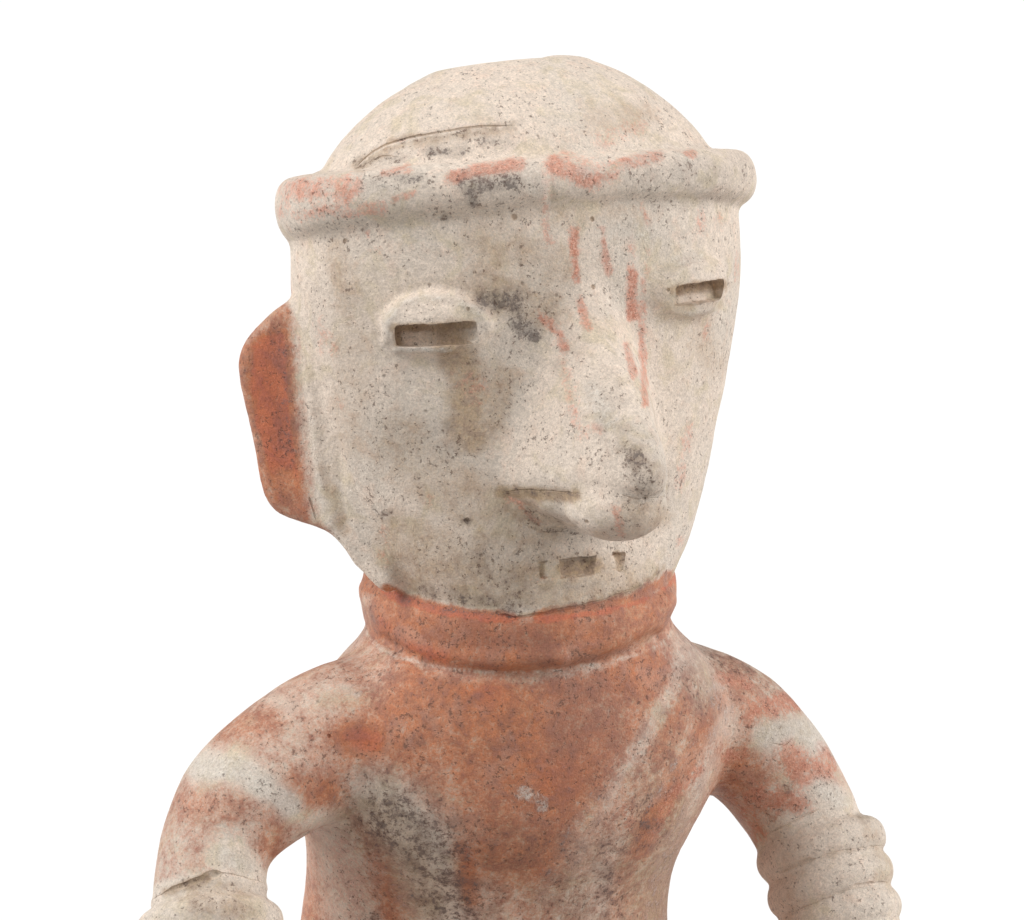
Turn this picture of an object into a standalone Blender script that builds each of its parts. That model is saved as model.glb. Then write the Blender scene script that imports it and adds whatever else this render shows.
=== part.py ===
"""A seated figure of fired clay with a round banded cap, flat ears, a collar and coiled armlets.

The figure sits on the ground with its hands on its raised knees. It faces -Y and its left hand is at +X.
Closed forms are lofted and swept, then fused and smoothed as a potter joins clay. The eyes and mouth are cut
in last. It is all drawn round the neck's axis and then moved, so that the origin is under its middle.
"""

import math

import bmesh
import bpy
import numpy as np
from mathutils import Matrix, Vector

# The driving dimension, in metres. The pose, the proportions and the carving are shares of it.
HEIGHT = 0.360
DESIGN_HEIGHT = 360.0
MM = HEIGHT / DESIGN_HEIGHT  # one design millimetre, in metres

# How finely the clay is fused, how far its inner corners are smoothed and how many triangles the solid keeps.
VOXEL = 1.6 * MM
BODY_BLEND = 4.0
HEAD_BLEND = 2.0
JOINT_BLEND = 1.2
TRIANGLES = 9000
RING_POINTS = 48
RING_ROUNDNESS = 0.98  # how much of a half circle the edge of a band or coil follows, at most 1
STRETCH_STEPS = 3  # rings made between two levels

# Head, in design millimetres: height above the ground, half width, depth in front of and behind the axis.
HEAD_LEVELS = [
    (215.0, 24.0, 23.0, 23.0),
    (218.5, 33.0, 33.5, 31.0),
    (222.5, 37.6, 39.5, 36.5),
    (228.0, 40.2, 41.0, 39.5),
    (236.0, 46.0, 40.4, 41.0),
    (244.0, 49.7, 39.4, 42.0),
    (252.0, 52.4, 39.0, 42.0),
    (260.0, 54.5, 39.0, 42.0),
    (270.0, 57.1, 39.0, 42.0),
    (282.0, 59.6, 39.0, 42.0),
    (295.0, 61.5, 39.3, 42.0),
    (306.0, 62.2, 39.8, 42.0),
    (320.0, 60.7, 39.5, 41.5),
    (330.0, 57.0, 37.0, 39.0),
]

# The lower head dips to the front, level again from this height up.
CHIN_PITCH = math.radians(10.0)
CHIN_PITCH_TOP = 262.0
CHIN_PITCH_SPAN = 36.0

# Brim of the cap, a flattened roll that rises to the front and is thinner there, and the dome over it.
CAP_Z = 323.7
CAP_PITCH = math.radians(12.0)
BRIM_TAPER = math.radians(2.8)
CAP_SIDE = 0.5
BRIM_SIZE = (66.2, 43.5, 47.0)  # half width, front and back
BRIM_HALF_HEIGHT = 7.8
BRIM_EDGE = 5.0
DOME_SIZE = (55.9, 37.5, 41.0)
DOME_RISE = 37.5
DOME_POWER = 1.72  # 2 is an ellipse; less is more pointed
DOME_TOP = 0.893  # the share of the rise at which the top is flat
DOME_LEAN = 0.8  # how far its top stands to the figure's left
DOME_ROLL = math.radians(1.5)  # how steeply the flat top rises to the figure's left
DOME_BUMP = (16.5, 32.8)  # side and lift of a low bump on the flat top
DOME_BUMP_SIZE = (8.5, 8.0, 2.6)

# Nose: height, half width of its root on the face, how far its ridge stands in front of the axis.
NOSE_LEVELS = [
    (241.0, 22.0, 39.0),
    (246.0, 25.0, 52.0),
    (250.0, 28.0, 63.0),
    (253.5, 31.0, 68.0),
    (258.0, 33.0, 74.0),
    (264.0, 34.0, 72.5),
    (272.0, 34.0, 67.0),
    (284.0, 31.0, 56.5),
    (294.0, 27.0, 47.5),
    (303.0, 22.0, 41.5),
    (313.0, 16.0, 37.5),
]
NOSE_ROOT = 29.0
NOSE_INSIDE = 12.0  # how far its back reaches into the head
NOSE_FLANK = (0.9, 1.4)  # at the tip and above it: 1 is a round ridge; more hollows the flanks
NOSE_FLANK_HEIGHTS = (250.0, 268.0)
NOSE_BULB = (-1.0, 57.0, 251.3)
NOSE_BULB_SIZE = (12.5, 13.5, 9.3)

# Eyes: place of each slit's middle, its size, and the half sizes of the lids over and under it.
EYE_SIDE_RIGHT = 38.6
EYE_SIDE_LEFT = 32.0
EYE_Z_RIGHT = 293.6
EYE_Z_LEFT = 299.3
EYE_SLIT_RIGHT = 20.8
EYE_SLIT_LEFT = 19.3
EYE_SLIT_HEIGHT = 5.6
EYE_SLIT_DEPTH = 4.0
EYE_HOOD = (14.5, 8.4, 5.4)
EYE_HOOD_SUNK = 0.4
EYE_LOWER_LID = (12.5, 3.4, 2.0)
EYE_LOWER_LID_SUNK = 0.8

# Mouth, a shallow slot.
MOUTH_SIDE = -1.1
MOUTH_Z = 231.5
MOUTH_LENGTH = 25.0
MOUTH_HEIGHT = 5.4
MOUTH_DEPTH = 3.2

# Ears: outline (outwards from the root, height), root, thickness, and how far they are turned to the back.
EAR_OUTLINE = [
    (-16.0, 297.0),
    (-4.0, 301.0),
    (6.0, 300.5),
    (12.0, 298.0),
    (18.5, 292.5),
    (23.0, 286.5),
    (24.4, 280.0),
    (24.1, 271.0),
    (22.9, 261.0),
    (22.2, 251.2),
    (20.6, 245.4),
    (16.6, 242.2),
    (9.0, 240.4),
    (3.5, 238.6),
    (-0.5, 234.0),
    (-3.5, 229.5),
    (-14.0, 228.0),
]
EAR_ROOT_SIDE = 56.0
EAR_ROOT_FORE = 1.0
EAR_THICKNESS = 6.4
EAR_SWEEP_RIGHT = math.radians(53.0)
EAR_SWEEP_LEFT = math.radians(60.0)
EAR_EDGE = 2.2
# Below this height the ears lean in, as the head narrows.
EAR_SLOPE_TOP = 282.0
EAR_SLOPE_LEFT = 0.30
EAR_SLOPE_RIGHT = 0.13

# Collar: a rounded band round the neck that dips to the front.
COLLAR_Z = 219.2
COLLAR_ROLL = math.radians(2.4)
COLLAR_TAPER = math.radians(3.0)  # how much more its lower edge rises to the figure's left
COLLAR_PITCH = math.radians(8.0)
COLLAR_RADIUS = 41.4
COLLAR_HALF_HEIGHT = 7.4
COLLAR_EDGE = 2.6
COLLAR_FORE = 0.5

# Torso: height, half width, depth in front and behind, place of the middle in front of the neck's axis.
TORSO_LEVELS = [
    (-6.0, 54.0, 38.0, 40.0, -22.0),
    (4.0, 61.0, 44.0, 45.0, -22.0),
    (18.0, 65.5, 47.0, 48.5, -22.0),
    (40.0, 65.5, 47.0, 48.5, -22.0),
    (65.0, 62.0, 45.5, 45.0, -22.0),
    (90.0, 57.0, 42.0, 40.0, -21.8),
    (112.0, 53.0, 39.5, 36.5, -21.3),
    (128.0, 51.8, 38.0, 34.5, -20.0),
    (140.0, 51.6, 38.0, 35.0, -16.6),
    (152.0, 54.0, 39.0, 38.5, -9.8),
    (163.0, 57.5, 40.5, 40.5, -5.5),
    (175.0, 60.5, 40.5, 40.0, -3.0),
    (188.0, 60.0, 39.5, 39.0, -1.5),
    (197.0, 54.0, 38.5, 38.5, -0.5),
    (204.0, 47.5, 37.2, 38.0, 0.0),
    (210.0, 41.0, 36.4, 37.2, 0.5),
    (222.0, 37.0, 35.8, 37.0, 0.5),
]

# Arms: side, forward, height and radius of stops along each limb.
RIGHT_ARM = [
    (-30.0, -1.0, 188.0, 19.0),
    (-50.0, -1.0, 186.6, 18.4),
    (-67.0, 0.0, 179.2, 18.2),
    (-80.6, 1.0, 170.6, 16.6),
    (-88.6, 3.0, 160.0, 14.3),
    (-91.8, 7.0, 147.5, 14.9),
    (-93.8, 12.0, 133.5, 15.5),
    (-96.5, 17.5, 119.5, 14.8),
    (-98.0, 25.0, 107.0, 13.8),
    (-95.0, 36.0, 99.5, 12.4),
    (-89.0, 48.0, 97.0, 11.2),
    (-82.0, 60.0, 93.5, 9.6),
]
LEFT_ARM = [
    (30.0, -1.0, 187.6, 19.8),
    (48.0, -1.0, 183.8, 18.0),
    (61.5, 0.5, 177.8, 17.4),
    (72.3, 2.0, 168.3, 16.7),
    (79.6, 4.5, 157.8, 15.8),
    (84.2, 8.3, 146.0, 15.1),
    (86.2, 13.0, 132.5, 14.4),
    (88.0, 18.0, 119.5, 14.0),
    (89.0, 25.0, 107.0, 13.4),
    (88.0, 36.0, 99.5, 12.4),
    (84.0, 48.0, 97.0, 11.2),
    (80.0, 60.0, 93.5, 9.6),
]

# Armlets: coils stacked down each upper arm from a height, along an axis that leans in and back.
COIL_COUNT = 4
COIL_PITCH = 10.0
COIL_SUNK = 1.5
COIL_ROUNDNESS = 0.92
COIL_FORWARD = 0.6
COIL_LEAN = (-0.1, -0.45, 0.89)
# For each armlet: the height it starts at, how proud it stands and how far it is shifted outwards.
RIGHT_COILS = (142.4, 3.8, 0.4)
LEFT_COILS = (143.0, 3.1, 1.2)

# Legs and feet, drawn for the left side and mirrored: side, forward, height and radius.
LEG = [
    (22.0, -24.0, 32.0, 30.0),
    (41.0, 4.0, 41.0, 29.5),
    (58.0, 32.0, 53.0, 26.5),
    (70.0, 54.0, 64.0, 23.5),
    (76.0, 69.0, 68.0, 21.5),
    (76.5, 80.0, 60.0, 19.8),
    (74.5, 84.0, 44.0, 18.4),
    (71.5, 82.0, 28.0, 16.6),
    (69.5, 79.0, 12.0, 15.0),
]
FOOT_HEEL = (68.5, 72.0, 8.0)
FOOT_BALL = (74.0, 107.0, 6.5)
FOOT_SHARES = (0.66, 0.84, 0.9, 1.0, 1.04, 0.94)  # of its half width, from the heel to the ball
FOOT_HALF_WIDTH = 16.0
FOOT_HALF_THICK = 10.5
TOE_COUNT = 5
TOE_ROW = 0.84  # half width of the row of toes as a share of the foot's
TOE_RADIUS = 3.9
BIG_TOE = 1.25
TOE_LENGTH = 12.0
TOE_SUNK = 5.0
TOE_SHORTER = 0.3  # how much the outer toe falls short
TOE_SHAPE = ((0.0, 1.0), (0.5, 1.05), (0.9, 0.9), (1.0, 0.5))  # share of the length, share of the radius

# Hands, laid over the knees: angles round the knee in degrees above level, the thumb's first, and sizes.
KNEE = LEG[4]
PALM_ANGLE = 103.0
PALM_HALF_SIZE = (14.5, 15.5, 7.0)
PALM_ABOVE = 1.0
FINGER_SPREAD = 12.0
FINGER_RADIUS = 4.0
FINGER_ABOVE = 1.2
FINGER_FAN = (0.8, 1.1)  # how far apart the fingers lie at their roots and tips, as shares of the spread
FINGER_THIN = (1.05, 0.8)  # their roots and tips, as shares of the radius
FINGER_START = 92.0
FINGER_REACH = (44.0, 72.0, 80.0, 74.0, 62.0)

# Worn red slip over buff clay.
CLAY_COLOUR = (0.56, 0.36, 0.26, 1.0)
CLAY_ROUGHNESS = 0.6
SHARP_EDGE = math.radians(40.0)

SIDE, FORE, UP = Vector((1, 0, 0)), Vector((0, -1, 0)), Vector((0, 0, 1))


def place(side, fore, height):
    """A point from its distance to the figure's left, in front of the axis and above the ground."""
    return Vector((side, -fore, height)) * MM


def catmull(stops, steps):
    """Points on a smooth curve through the stops, steps of them for each stretch."""
    rows = [np.array(s, float) for s in stops]
    rows = [2 * rows[0] - rows[1], *rows, 2 * rows[-1] - rows[-2]]
    made = []
    for a, b, c, d in zip(rows, rows[1:], rows[2:], rows[3:]):
        for t in np.arange(steps) / steps:
            bend = (2 * a - 5 * b + 4 * c - d) * t**2 + (3 * b - a - 3 * c + d) * t**3
            made.append(0.5 * (2 * b + (c - a) * t + bend))
    made.append(rows[-2])
    return made


def turn_angles():
    return [2 * math.pi * k / RING_POINTS for k in range(RING_POINTS)]


def oval(centre, width, front, back, pitch=0.0, roll=0.0):
    """A closed ring round centre. Its plane rises to the front by pitch and to the figure's left by roll."""
    ring = []
    for angle in turn_angles():
        side = width * math.cos(angle)
        fore = (front if angle < math.pi else back) * math.sin(angle)
        height = fore * math.sin(pitch) + side * math.sin(roll)
        ring.append(centre + place(side * math.cos(roll), fore * math.cos(pitch), height))
    return ring


def half_circle(share):
    """Height of a half circle at a share of its radius from the middle, and a little at its ends."""
    return math.sqrt(max(0.0, 1 - (RING_ROUNDNESS * share) ** 2))


def new_object(name, data):
    obj = bpy.data.objects.new(name, data)
    bpy.context.scene.collection.objects.link(obj)
    return obj


def from_bmesh(name, bm):
    """A new object that takes over the bmesh, with its faces turned out."""
    bmesh.ops.recalc_face_normals(bm, faces=bm.faces)
    mesh = bpy.data.meshes.new(name)
    bm.to_mesh(mesh)
    bm.free()
    return new_object(name, mesh)


def evaluated_mesh(obj):
    bpy.context.view_layer.update()
    graph = bpy.context.evaluated_depsgraph_get()
    return bpy.data.meshes.new_from_object(obj.evaluated_get(graph))


def loft(name, rings):
    """A closed solid through a stack of rings that have the same number of points."""
    bm = bmesh.new()
    rows = [[bm.verts.new(point) for point in ring] for ring in rings]
    count = len(rings[0])
    for low, high in zip(rows, rows[1:]):
        for k in range(count):
            after = (k + 1) % count
            bm.faces.new((low[k], low[after], high[after], high[k]))
    bm.faces.new(rows[0])
    bm.faces.new(rows[-1])
    return from_bmesh(name, bm)


def from_curve(name, curve):
    """The curve object as a mesh with its caps welded on. The curve is removed."""
    bm = bmesh.new()
    bm.from_mesh(evaluated_mesh(curve))
    bmesh.ops.remove_doubles(bm, verts=bm.verts, dist=0.00001)
    bpy.data.objects.remove(curve)
    return from_bmesh(name, bm)


def limb(name, stops, steps=5):
    """A round tube whose thickness changes along a smooth path."""
    data = bpy.data.curves.new(name, "CURVE")
    data.dimensions = "3D"
    data.bevel_depth = MM
    data.bevel_resolution = 8
    data.use_fill_caps = True
    path = catmull(stops, steps)
    spline = data.splines.new("POLY")
    spline.points.add(len(path) - 1)
    for point, (side, fore, height, radius) in zip(spline.points, path):
        point.co = (*place(side, fore, height), 1.0)
        point.radius = radius
    return from_curve(name, new_object(name + "_path", data))


def to_world(centre, axes, size):
    """The matrix that takes a unit shape to centre, with its sizes in design millimetres along three axes."""
    turned = Matrix(axes).transposed().to_4x4()
    return Matrix.Translation(centre) @ turned @ Matrix.Diagonal((*(Vector(size) * MM), 1.0))


def ellipsoid(name, centre, axes, half_size):
    bm = bmesh.new()
    bmesh.ops.create_uvsphere(bm, u_segments=32, v_segments=16, radius=1.0)
    bm.transform(to_world(centre, axes, half_size))
    return from_bmesh(name, bm)


def block(name, centre, axes, size):
    """A box that cuts, so it isn't drawn."""
    bm = bmesh.new()
    bmesh.ops.create_cube(bm, size=1.0)
    bm.transform(to_world(centre, axes, size))
    obj = from_bmesh(name, bm)
    obj.hide_render = True
    obj.display_type = "WIRE"
    return obj


def apply_modifiers(obj):
    mesh = evaluated_mesh(obj)
    obj.modifiers.clear()
    obj.data = mesh


def fuse(name, pieces, blend):
    """One closed skin over all the pieces, with inner corners smoothed over about blend millimetres."""
    bm = bmesh.new()
    for piece in pieces:
        bm.from_mesh(piece.data)
        bpy.data.objects.remove(piece)
    obj = from_bmesh(name, bm)
    remesh = obj.modifiers.new("fuse", "REMESH")
    remesh.mode = "VOXEL"
    remesh.voxel_size = VOXEL
    smooth = obj.modifiers.new("blend", "SMOOTH")
    smooth.factor = 0.5
    smooth.iterations = max(1, round(4 * (blend * MM / VOXEL) ** 2))
    apply_modifiers(obj)
    return obj


def make_torso():
    rings = []
    for z, width, front, back, fore in catmull(TORSO_LEVELS, STRETCH_STEPS):
        rings.append(oval(place(0, fore, z), width, front, back))
    return loft("torso", rings)


def mirrored(stops):
    return [(-stop[0], *stop[1:]) for stop in stops]


def make_foot(side):
    """A rounded foot from the heel to the ball, and its toes, the big one inside."""
    heel, ball = Vector(FOOT_HEEL), Vector(FOOT_BALL)
    heel.x *= side
    ball.x *= side
    ahead = (ball - heel).normalized()
    outward = Vector((ahead.y, -ahead.x, 0)).normalized() * side
    rings = []
    for k, share in enumerate(FOOT_SHARES):
        middle = heel.lerp(ball, k / (len(FOOT_SHARES) - 1))
        ring = []
        for angle in turn_angles():
            across = outward * (FOOT_HALF_WIDTH * share * math.cos(angle))
            ring.append(place(*(middle + across + UP * (FOOT_HALF_THICK * math.sin(angle)))))
        rings.append(ring)
    pieces = [loft("foot", rings)]
    for k in range(TOE_COUNT):
        spread = 1 - 2 * k / (TOE_COUNT - 1)
        radius = TOE_RADIUS * (BIG_TOE if k == TOE_COUNT - 1 else 1.0)
        start = ball + outward * (FOOT_HALF_WIDTH * TOE_ROW * spread) - ahead * TOE_SUNK
        reach = TOE_LENGTH * (1 - TOE_SHORTER * max(0.0, spread))
        stops = [(*(start + ahead * (reach * t)), radius * thin) for t, thin in TOE_SHAPE]
        pieces.append(limb("toe", stops))
    return pieces


def round_knee(side, offset, angle, above):
    """A point above the knee's skin: offset across it, at an angle over the front."""
    across, fore, height, radius = KNEE
    reach = math.sqrt(max(0.0, radius**2 - offset**2)) + above
    turn = math.radians(angle)
    return side * (across + offset), fore + reach * math.cos(turn), height + reach * math.sin(turn)


def make_hand(side):
    """A palm on the knee and fingers that bend over it, the thumb on the inner side."""
    turn = math.radians(PALM_ANGLE)
    up = Vector((0, -math.cos(turn), math.sin(turn)))
    centre = place(*round_knee(side, 0, PALM_ANGLE, PALM_ABOVE))
    pieces = [ellipsoid("palm", centre, (SIDE, up.cross(SIDE), up), PALM_HALF_SIZE)]
    for k, reach in enumerate(FINGER_REACH):
        spread = 2 * k / (len(FINGER_REACH) - 1) - 1
        stops = []
        for t in (0.0, 0.25, 0.5, 0.75, 1.0):
            offset = FINGER_SPREAD * spread * float(np.interp(t, (0, 1), FINGER_FAN))
            radius = FINGER_RADIUS * float(np.interp(t**3, (0, 1), FINGER_THIN))
            stops.append((*round_knee(side, offset, FINGER_START - reach * t, FINGER_ABOVE), radius))
        pieces.append(limb("finger", stops))
    return pieces


def make_body():
    pieces = [make_torso(), limb("arm", RIGHT_ARM), limb("arm", LEFT_ARM)]
    pieces += [limb("leg", LEG), limb("leg", mirrored(LEG))]
    return fuse("body", pieces, BODY_BLEND)


def arm_at(stops, height):
    """Middle and radius of the upper arm where it passes a height."""
    for side, fore, z, radius in catmull(stops, 12):
        if z <= height and abs(side) > abs(stops[1][0]):
            return place(side, fore, z), radius
    raise ValueError("the arm never comes down to this height")


def make_coils(side, stops, top, proud, outward):
    """The armlet: rolls of clay stacked down the arm."""
    lean, fore, rise = COIL_LEAN
    axis = place(side * lean, fore, rise).normalized()
    across = axis.cross(FORE).normalized()
    other = axis.cross(across)
    coils = []
    for k in range(COIL_COUNT):
        middle, radius = arm_at(stops, top - k * COIL_PITCH * rise)
        middle += place(side * outward, COIL_FORWARD, 0)
        rings = []
        for share in np.linspace(1, -1, 9):
            swell = math.sqrt(max(0.0, 1 - (COIL_ROUNDNESS * share) ** 2))
            reach = (radius - COIL_SUNK + (proud + COIL_SUNK) * swell) * MM
            centre = middle + axis * (share * COIL_PITCH * 0.5 * MM)
            spokes = (across * math.cos(angle) + other * math.sin(angle) for angle in turn_angles())
            rings.append([centre + spoke * reach for spoke in spokes])
        coils.append(loft("coil", rings))
    return coils


def make_collar():
    """A round band in a plane that dips to the front."""
    rings = []
    for share in np.linspace(-1, 1, 9):
        radius = COLLAR_RADIUS - COLLAR_EDGE * (1 - half_circle(share))
        lift = share * COLLAR_HALF_HEIGHT
        fore = COLLAR_FORE + lift * math.sin(COLLAR_PITCH)
        centre = place(0, fore, COLLAR_Z + lift * math.cos(COLLAR_PITCH))
        roll = COLLAR_ROLL + COLLAR_TAPER * 0.5 * (1 - share)
        rings.append(oval(centre, radius, radius, radius, -COLLAR_PITCH, roll))
    return loft("collar", rings)


def make_skull():
    rings = []
    for z, width, front, back in catmull(HEAD_LEVELS, STRETCH_STEPS):
        dip = CHIN_PITCH * min(1.0, max(0.0, (CHIN_PITCH_TOP - z) / CHIN_PITCH_SPAN))
        rings.append(oval(place(0, 0, z), width, front, back, -dip))
    return loft("skull", rings)


def above_cap(lift, aside=0.0):
    """The cap's middle, lift up along its own axis, which leans back, and moved to the figure's left by aside."""
    return place(CAP_SIDE + aside, -lift * math.sin(CAP_PITCH), CAP_Z + lift * math.cos(CAP_PITCH))


def make_brim():
    rings = []
    for share in np.linspace(-1, 1, 11):
        inset = BRIM_EDGE * (1 - half_circle(share))
        sizes = (size - inset for size in BRIM_SIZE)
        rings.append(oval(above_cap(share * BRIM_HALF_HEIGHT), *sizes, CAP_PITCH - share * BRIM_TAPER))
    return loft("brim", rings)


def make_dome():
    rings = []
    for step in np.linspace(0, 1, 13):
        climbed = DOME_TOP * math.sin(0.5 * math.pi * step)
        spread = (1 - climbed**DOME_POWER) ** (1 / DOME_POWER)
        sizes = (size * spread for size in DOME_SIZE)
        centre = above_cap(DOME_RISE * climbed, DOME_LEAN * climbed**3)
        rings.append(oval(centre, *sizes, CAP_PITCH, DOME_ROLL * climbed**3))
    side, lift = DOME_BUMP
    bump = ellipsoid("dome_bump", above_cap(lift, side), (SIDE, FORE, -UP), DOME_BUMP_SIZE)
    return [loft("dome", rings), bump]


def make_nose():
    """A long ridge with hollow flanks and a slanting underside, and the rounded tip that hangs from it."""
    rings = []
    for z, wide, ridge in catmull(NOSE_LEVELS, STRETCH_STEPS):
        ring = []
        flank = float(np.interp(z, NOSE_FLANK_HEIGHTS, NOSE_FLANK))
        for share in np.linspace(-1, 1, RING_POINTS):
            rise = (0.5 + 0.5 * math.cos(math.pi * share)) ** flank
            ring.append(place(wide * share, NOSE_ROOT + (ridge - NOSE_ROOT) * rise, z))
        ring += [place(wide * share, NOSE_ROOT - NOSE_INSIDE, z) for share in (0.8, -0.8)]
        rings.append(ring)
    bulb = ellipsoid("nose_bulb", place(*NOSE_BULB), (SIDE, FORE, -UP), NOSE_BULB_SIZE)
    return [loft("nose", rings), bulb]


def make_ear(side):
    """A flat slab with rounded edges, swept back from the side of the head."""
    data = bpy.data.curves.new("ear_outline", "CURVE")
    data.dimensions = "2D"
    data.fill_mode = "BOTH"
    data.extrude = (EAR_THICKNESS * 0.5 - EAR_EDGE) * MM
    data.bevel_depth = EAR_EDGE * MM
    data.offset = -EAR_EDGE * MM
    data.bevel_resolution = 3
    spline = data.splines.new("POLY")
    outline = catmull([*EAR_OUTLINE, EAR_OUTLINE[0]], 4)[:-1]
    spline.points.add(len(outline) - 1)
    for point, (out, z) in zip(spline.points, outline):
        point.co = (out * MM, z * MM, 0, 1)
    spline.use_cyclic_u = True
    ear = from_curve("ear", new_object("ear_outline", data))
    sweep, slope = (EAR_SWEEP_LEFT, EAR_SLOPE_LEFT) if side > 0 else (EAR_SWEEP_RIGHT, EAR_SLOPE_RIGHT)
    outward = Vector((side * math.cos(sweep), math.sin(sweep), 0))
    turned = Matrix((outward, UP, outward.cross(UP))).transposed().to_4x4()
    ear.data.transform(Matrix.Translation(place(side * EAR_ROOT_SIDE, EAR_ROOT_FORE, 0)) @ turned)
    for vertex in ear.data.vertices:
        vertex.co.x -= side * slope * max(0.0, EAR_SLOPE_TOP * MM - vertex.co.z)
    return ear


def head_surface(side, z):
    """Point and outward normal on the front of the skull."""
    rows = np.array(catmull(HEAD_LEVELS, STRETCH_STEPS))
    width = np.interp(z, rows[:, 0], rows[:, 1])
    front = np.interp(z, rows[:, 0], rows[:, 2])
    fore = front * math.sqrt(1 - (side / width) ** 2)
    return place(side, fore, z), Vector((side / width**2, -fore / front**2, 0)).normalized()


def eye_frames():
    """For each eye, the middle and length of its slit, with axes along the slit, upwards and out of the face."""
    eyes = ((-EYE_SIDE_RIGHT, EYE_Z_RIGHT, EYE_SLIT_RIGHT), (EYE_SIDE_LEFT, EYE_Z_LEFT, EYE_SLIT_LEFT))
    for side, z, length in eyes:
        point, normal = head_surface(side, z)
        yield point, length, (UP.cross(normal).normalized(), UP, normal)


def make_lids():
    lids = []
    for point, _, axes in eye_frames():
        normal = axes[2]
        over = point + (UP * (EYE_SLIT_HEIGHT * 0.5 - EYE_HOOD_SUNK) - normal * EYE_HOOD_SUNK) * MM
        under = point - (UP * (EYE_SLIT_HEIGHT * 0.5) + normal * EYE_LOWER_LID_SUNK) * MM
        lids.append(ellipsoid("hood", over, axes, EYE_HOOD))
        lids.append(ellipsoid("lower_lid", under, axes, EYE_LOWER_LID))
    return lids


def make_head():
    pieces = [make_skull(), make_brim(), *make_dome(), *make_nose(), *make_lids(), make_ear(-1), make_ear(1)]
    return fuse("head", pieces, HEAD_BLEND)


def make_cutters():
    """The eye slits, open in front of the lids, the mouth's slot and the ground under the figure."""
    cutters = []
    for point, length, axes in eye_frames():
        hood = EYE_HOOD[2] * MM
        size = (length, EYE_SLIT_HEIGHT, 2 * EYE_HOOD[2] + EYE_SLIT_DEPTH)
        cutters.append(block("eye_cutter", point + axes[2] * (hood - EYE_SLIT_DEPTH * MM / 2), axes, size))
    point, normal = head_surface(MOUTH_SIDE, MOUTH_Z)
    size = (MOUTH_LENGTH, MOUTH_HEIGHT, 2 * MOUTH_DEPTH)
    cutters.append(block("mouth_cutter", point, (SIDE, UP, normal), size))
    size = (2 * DESIGN_HEIGHT, 2 * DESIGN_HEIGHT, 2 * DESIGN_HEIGHT)
    cutters.append(block("ground_cutter", place(0, 0, -DESIGN_HEIGHT), (SIDE, -FORE, UP), size))
    return cutters


def cut(obj, cutters):
    for cutter in cutters:
        boolean = obj.modifiers.new("cut", "BOOLEAN")
        boolean.operation = "DIFFERENCE"
        boolean.solver = "EXACT"
        boolean.object = cutter
    apply_modifiers(obj)
    for cutter in cutters:
        bpy.data.objects.remove(cutter)


def thin_out(obj, triangles):
    """Fewer, larger faces, with the form kept."""
    decimate = obj.modifiers.new("thin", "DECIMATE")
    decimate.use_collapse_triangulate = True
    decimate.ratio = triangles / sum(len(face.vertices) - 2 for face in obj.data.polygons)
    apply_modifiers(obj)


def to_origin(obj):
    """Moves the figure so that the middle of its underside is the origin."""
    points = np.array([vertex.co for vertex in obj.data.vertices])
    low, high = points.min(axis=0), points.max(axis=0)
    obj.data.transform(Matrix.Translation((-(low[0] + high[0]) / 2, -(low[1] + high[1]) / 2, -low[2])))


def clay():
    material = bpy.data.materials.new("slipped_clay")
    material.use_nodes = True
    shader = material.node_tree.nodes["Principled BSDF"]
    shader.inputs["Base Color"].default_value = CLAY_COLOUR
    shader.inputs["Roughness"].default_value = CLAY_ROUGHNESS
    shader.inputs["Metallic"].default_value = 0.0
    return material


def make_figure():
    pieces = [make_body(), make_head(), make_collar()]
    pieces += make_coils(-1, RIGHT_ARM, *RIGHT_COILS) + make_coils(1, LEFT_ARM, *LEFT_COILS)
    for side in (-1, 1):
        pieces += make_foot(side) + make_hand(side)
    figure = fuse("seated_figure", pieces, JOINT_BLEND)
    thin_out(figure, TRIANGLES)
    cut(figure, make_cutters())
    to_origin(figure)
    figure.data.materials.append(clay())
    figure.data.shade_smooth()
    figure.data.set_sharp_from_angle(angle=SHARP_EDGE)
    return figure


def main():
    for obj in list(bpy.data.objects):
        bpy.data.objects.remove(obj)
    figure = make_figure()
    collection = bpy.data.collections.new("seated_figure")
    bpy.context.scene.collection.children.link(collection)
    collection.objects.link(figure)
    bpy.context.scene.collection.objects.unlink(figure)


main()
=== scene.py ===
"""Looks of the seated figure: its fine clay surface and paint, the floor, the light and the camera.

The form is drawn again from the solid's own levels and limbs, but much finer, and is then fitted to the
solid's box. Grooves, cracks and marks that the photograph shows are placed by its pixels, through the camera,
and lie on the surface that carries them. Sides that it doesn't show are finished by noise in the clay.
"""

import math

import bmesh
import bpy
import numpy as np
from mathutils import Matrix, Vector, noise
from mathutils.bvhtree import BVHTree


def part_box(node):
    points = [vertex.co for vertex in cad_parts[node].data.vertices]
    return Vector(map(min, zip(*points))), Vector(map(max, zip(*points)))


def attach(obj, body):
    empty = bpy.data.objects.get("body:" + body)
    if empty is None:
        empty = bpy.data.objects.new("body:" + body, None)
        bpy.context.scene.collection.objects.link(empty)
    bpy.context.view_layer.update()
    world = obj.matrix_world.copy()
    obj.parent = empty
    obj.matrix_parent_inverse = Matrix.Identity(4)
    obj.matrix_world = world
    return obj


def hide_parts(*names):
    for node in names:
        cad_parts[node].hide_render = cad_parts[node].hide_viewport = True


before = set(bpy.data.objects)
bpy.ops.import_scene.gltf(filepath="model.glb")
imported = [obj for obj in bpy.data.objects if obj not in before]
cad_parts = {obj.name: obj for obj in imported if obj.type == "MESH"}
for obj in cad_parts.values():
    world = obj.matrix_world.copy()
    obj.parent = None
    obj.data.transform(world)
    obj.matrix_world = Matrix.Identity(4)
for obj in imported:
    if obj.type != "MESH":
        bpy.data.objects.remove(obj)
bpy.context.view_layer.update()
BOX_LOW, BOX_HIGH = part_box("seated_figure")

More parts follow.
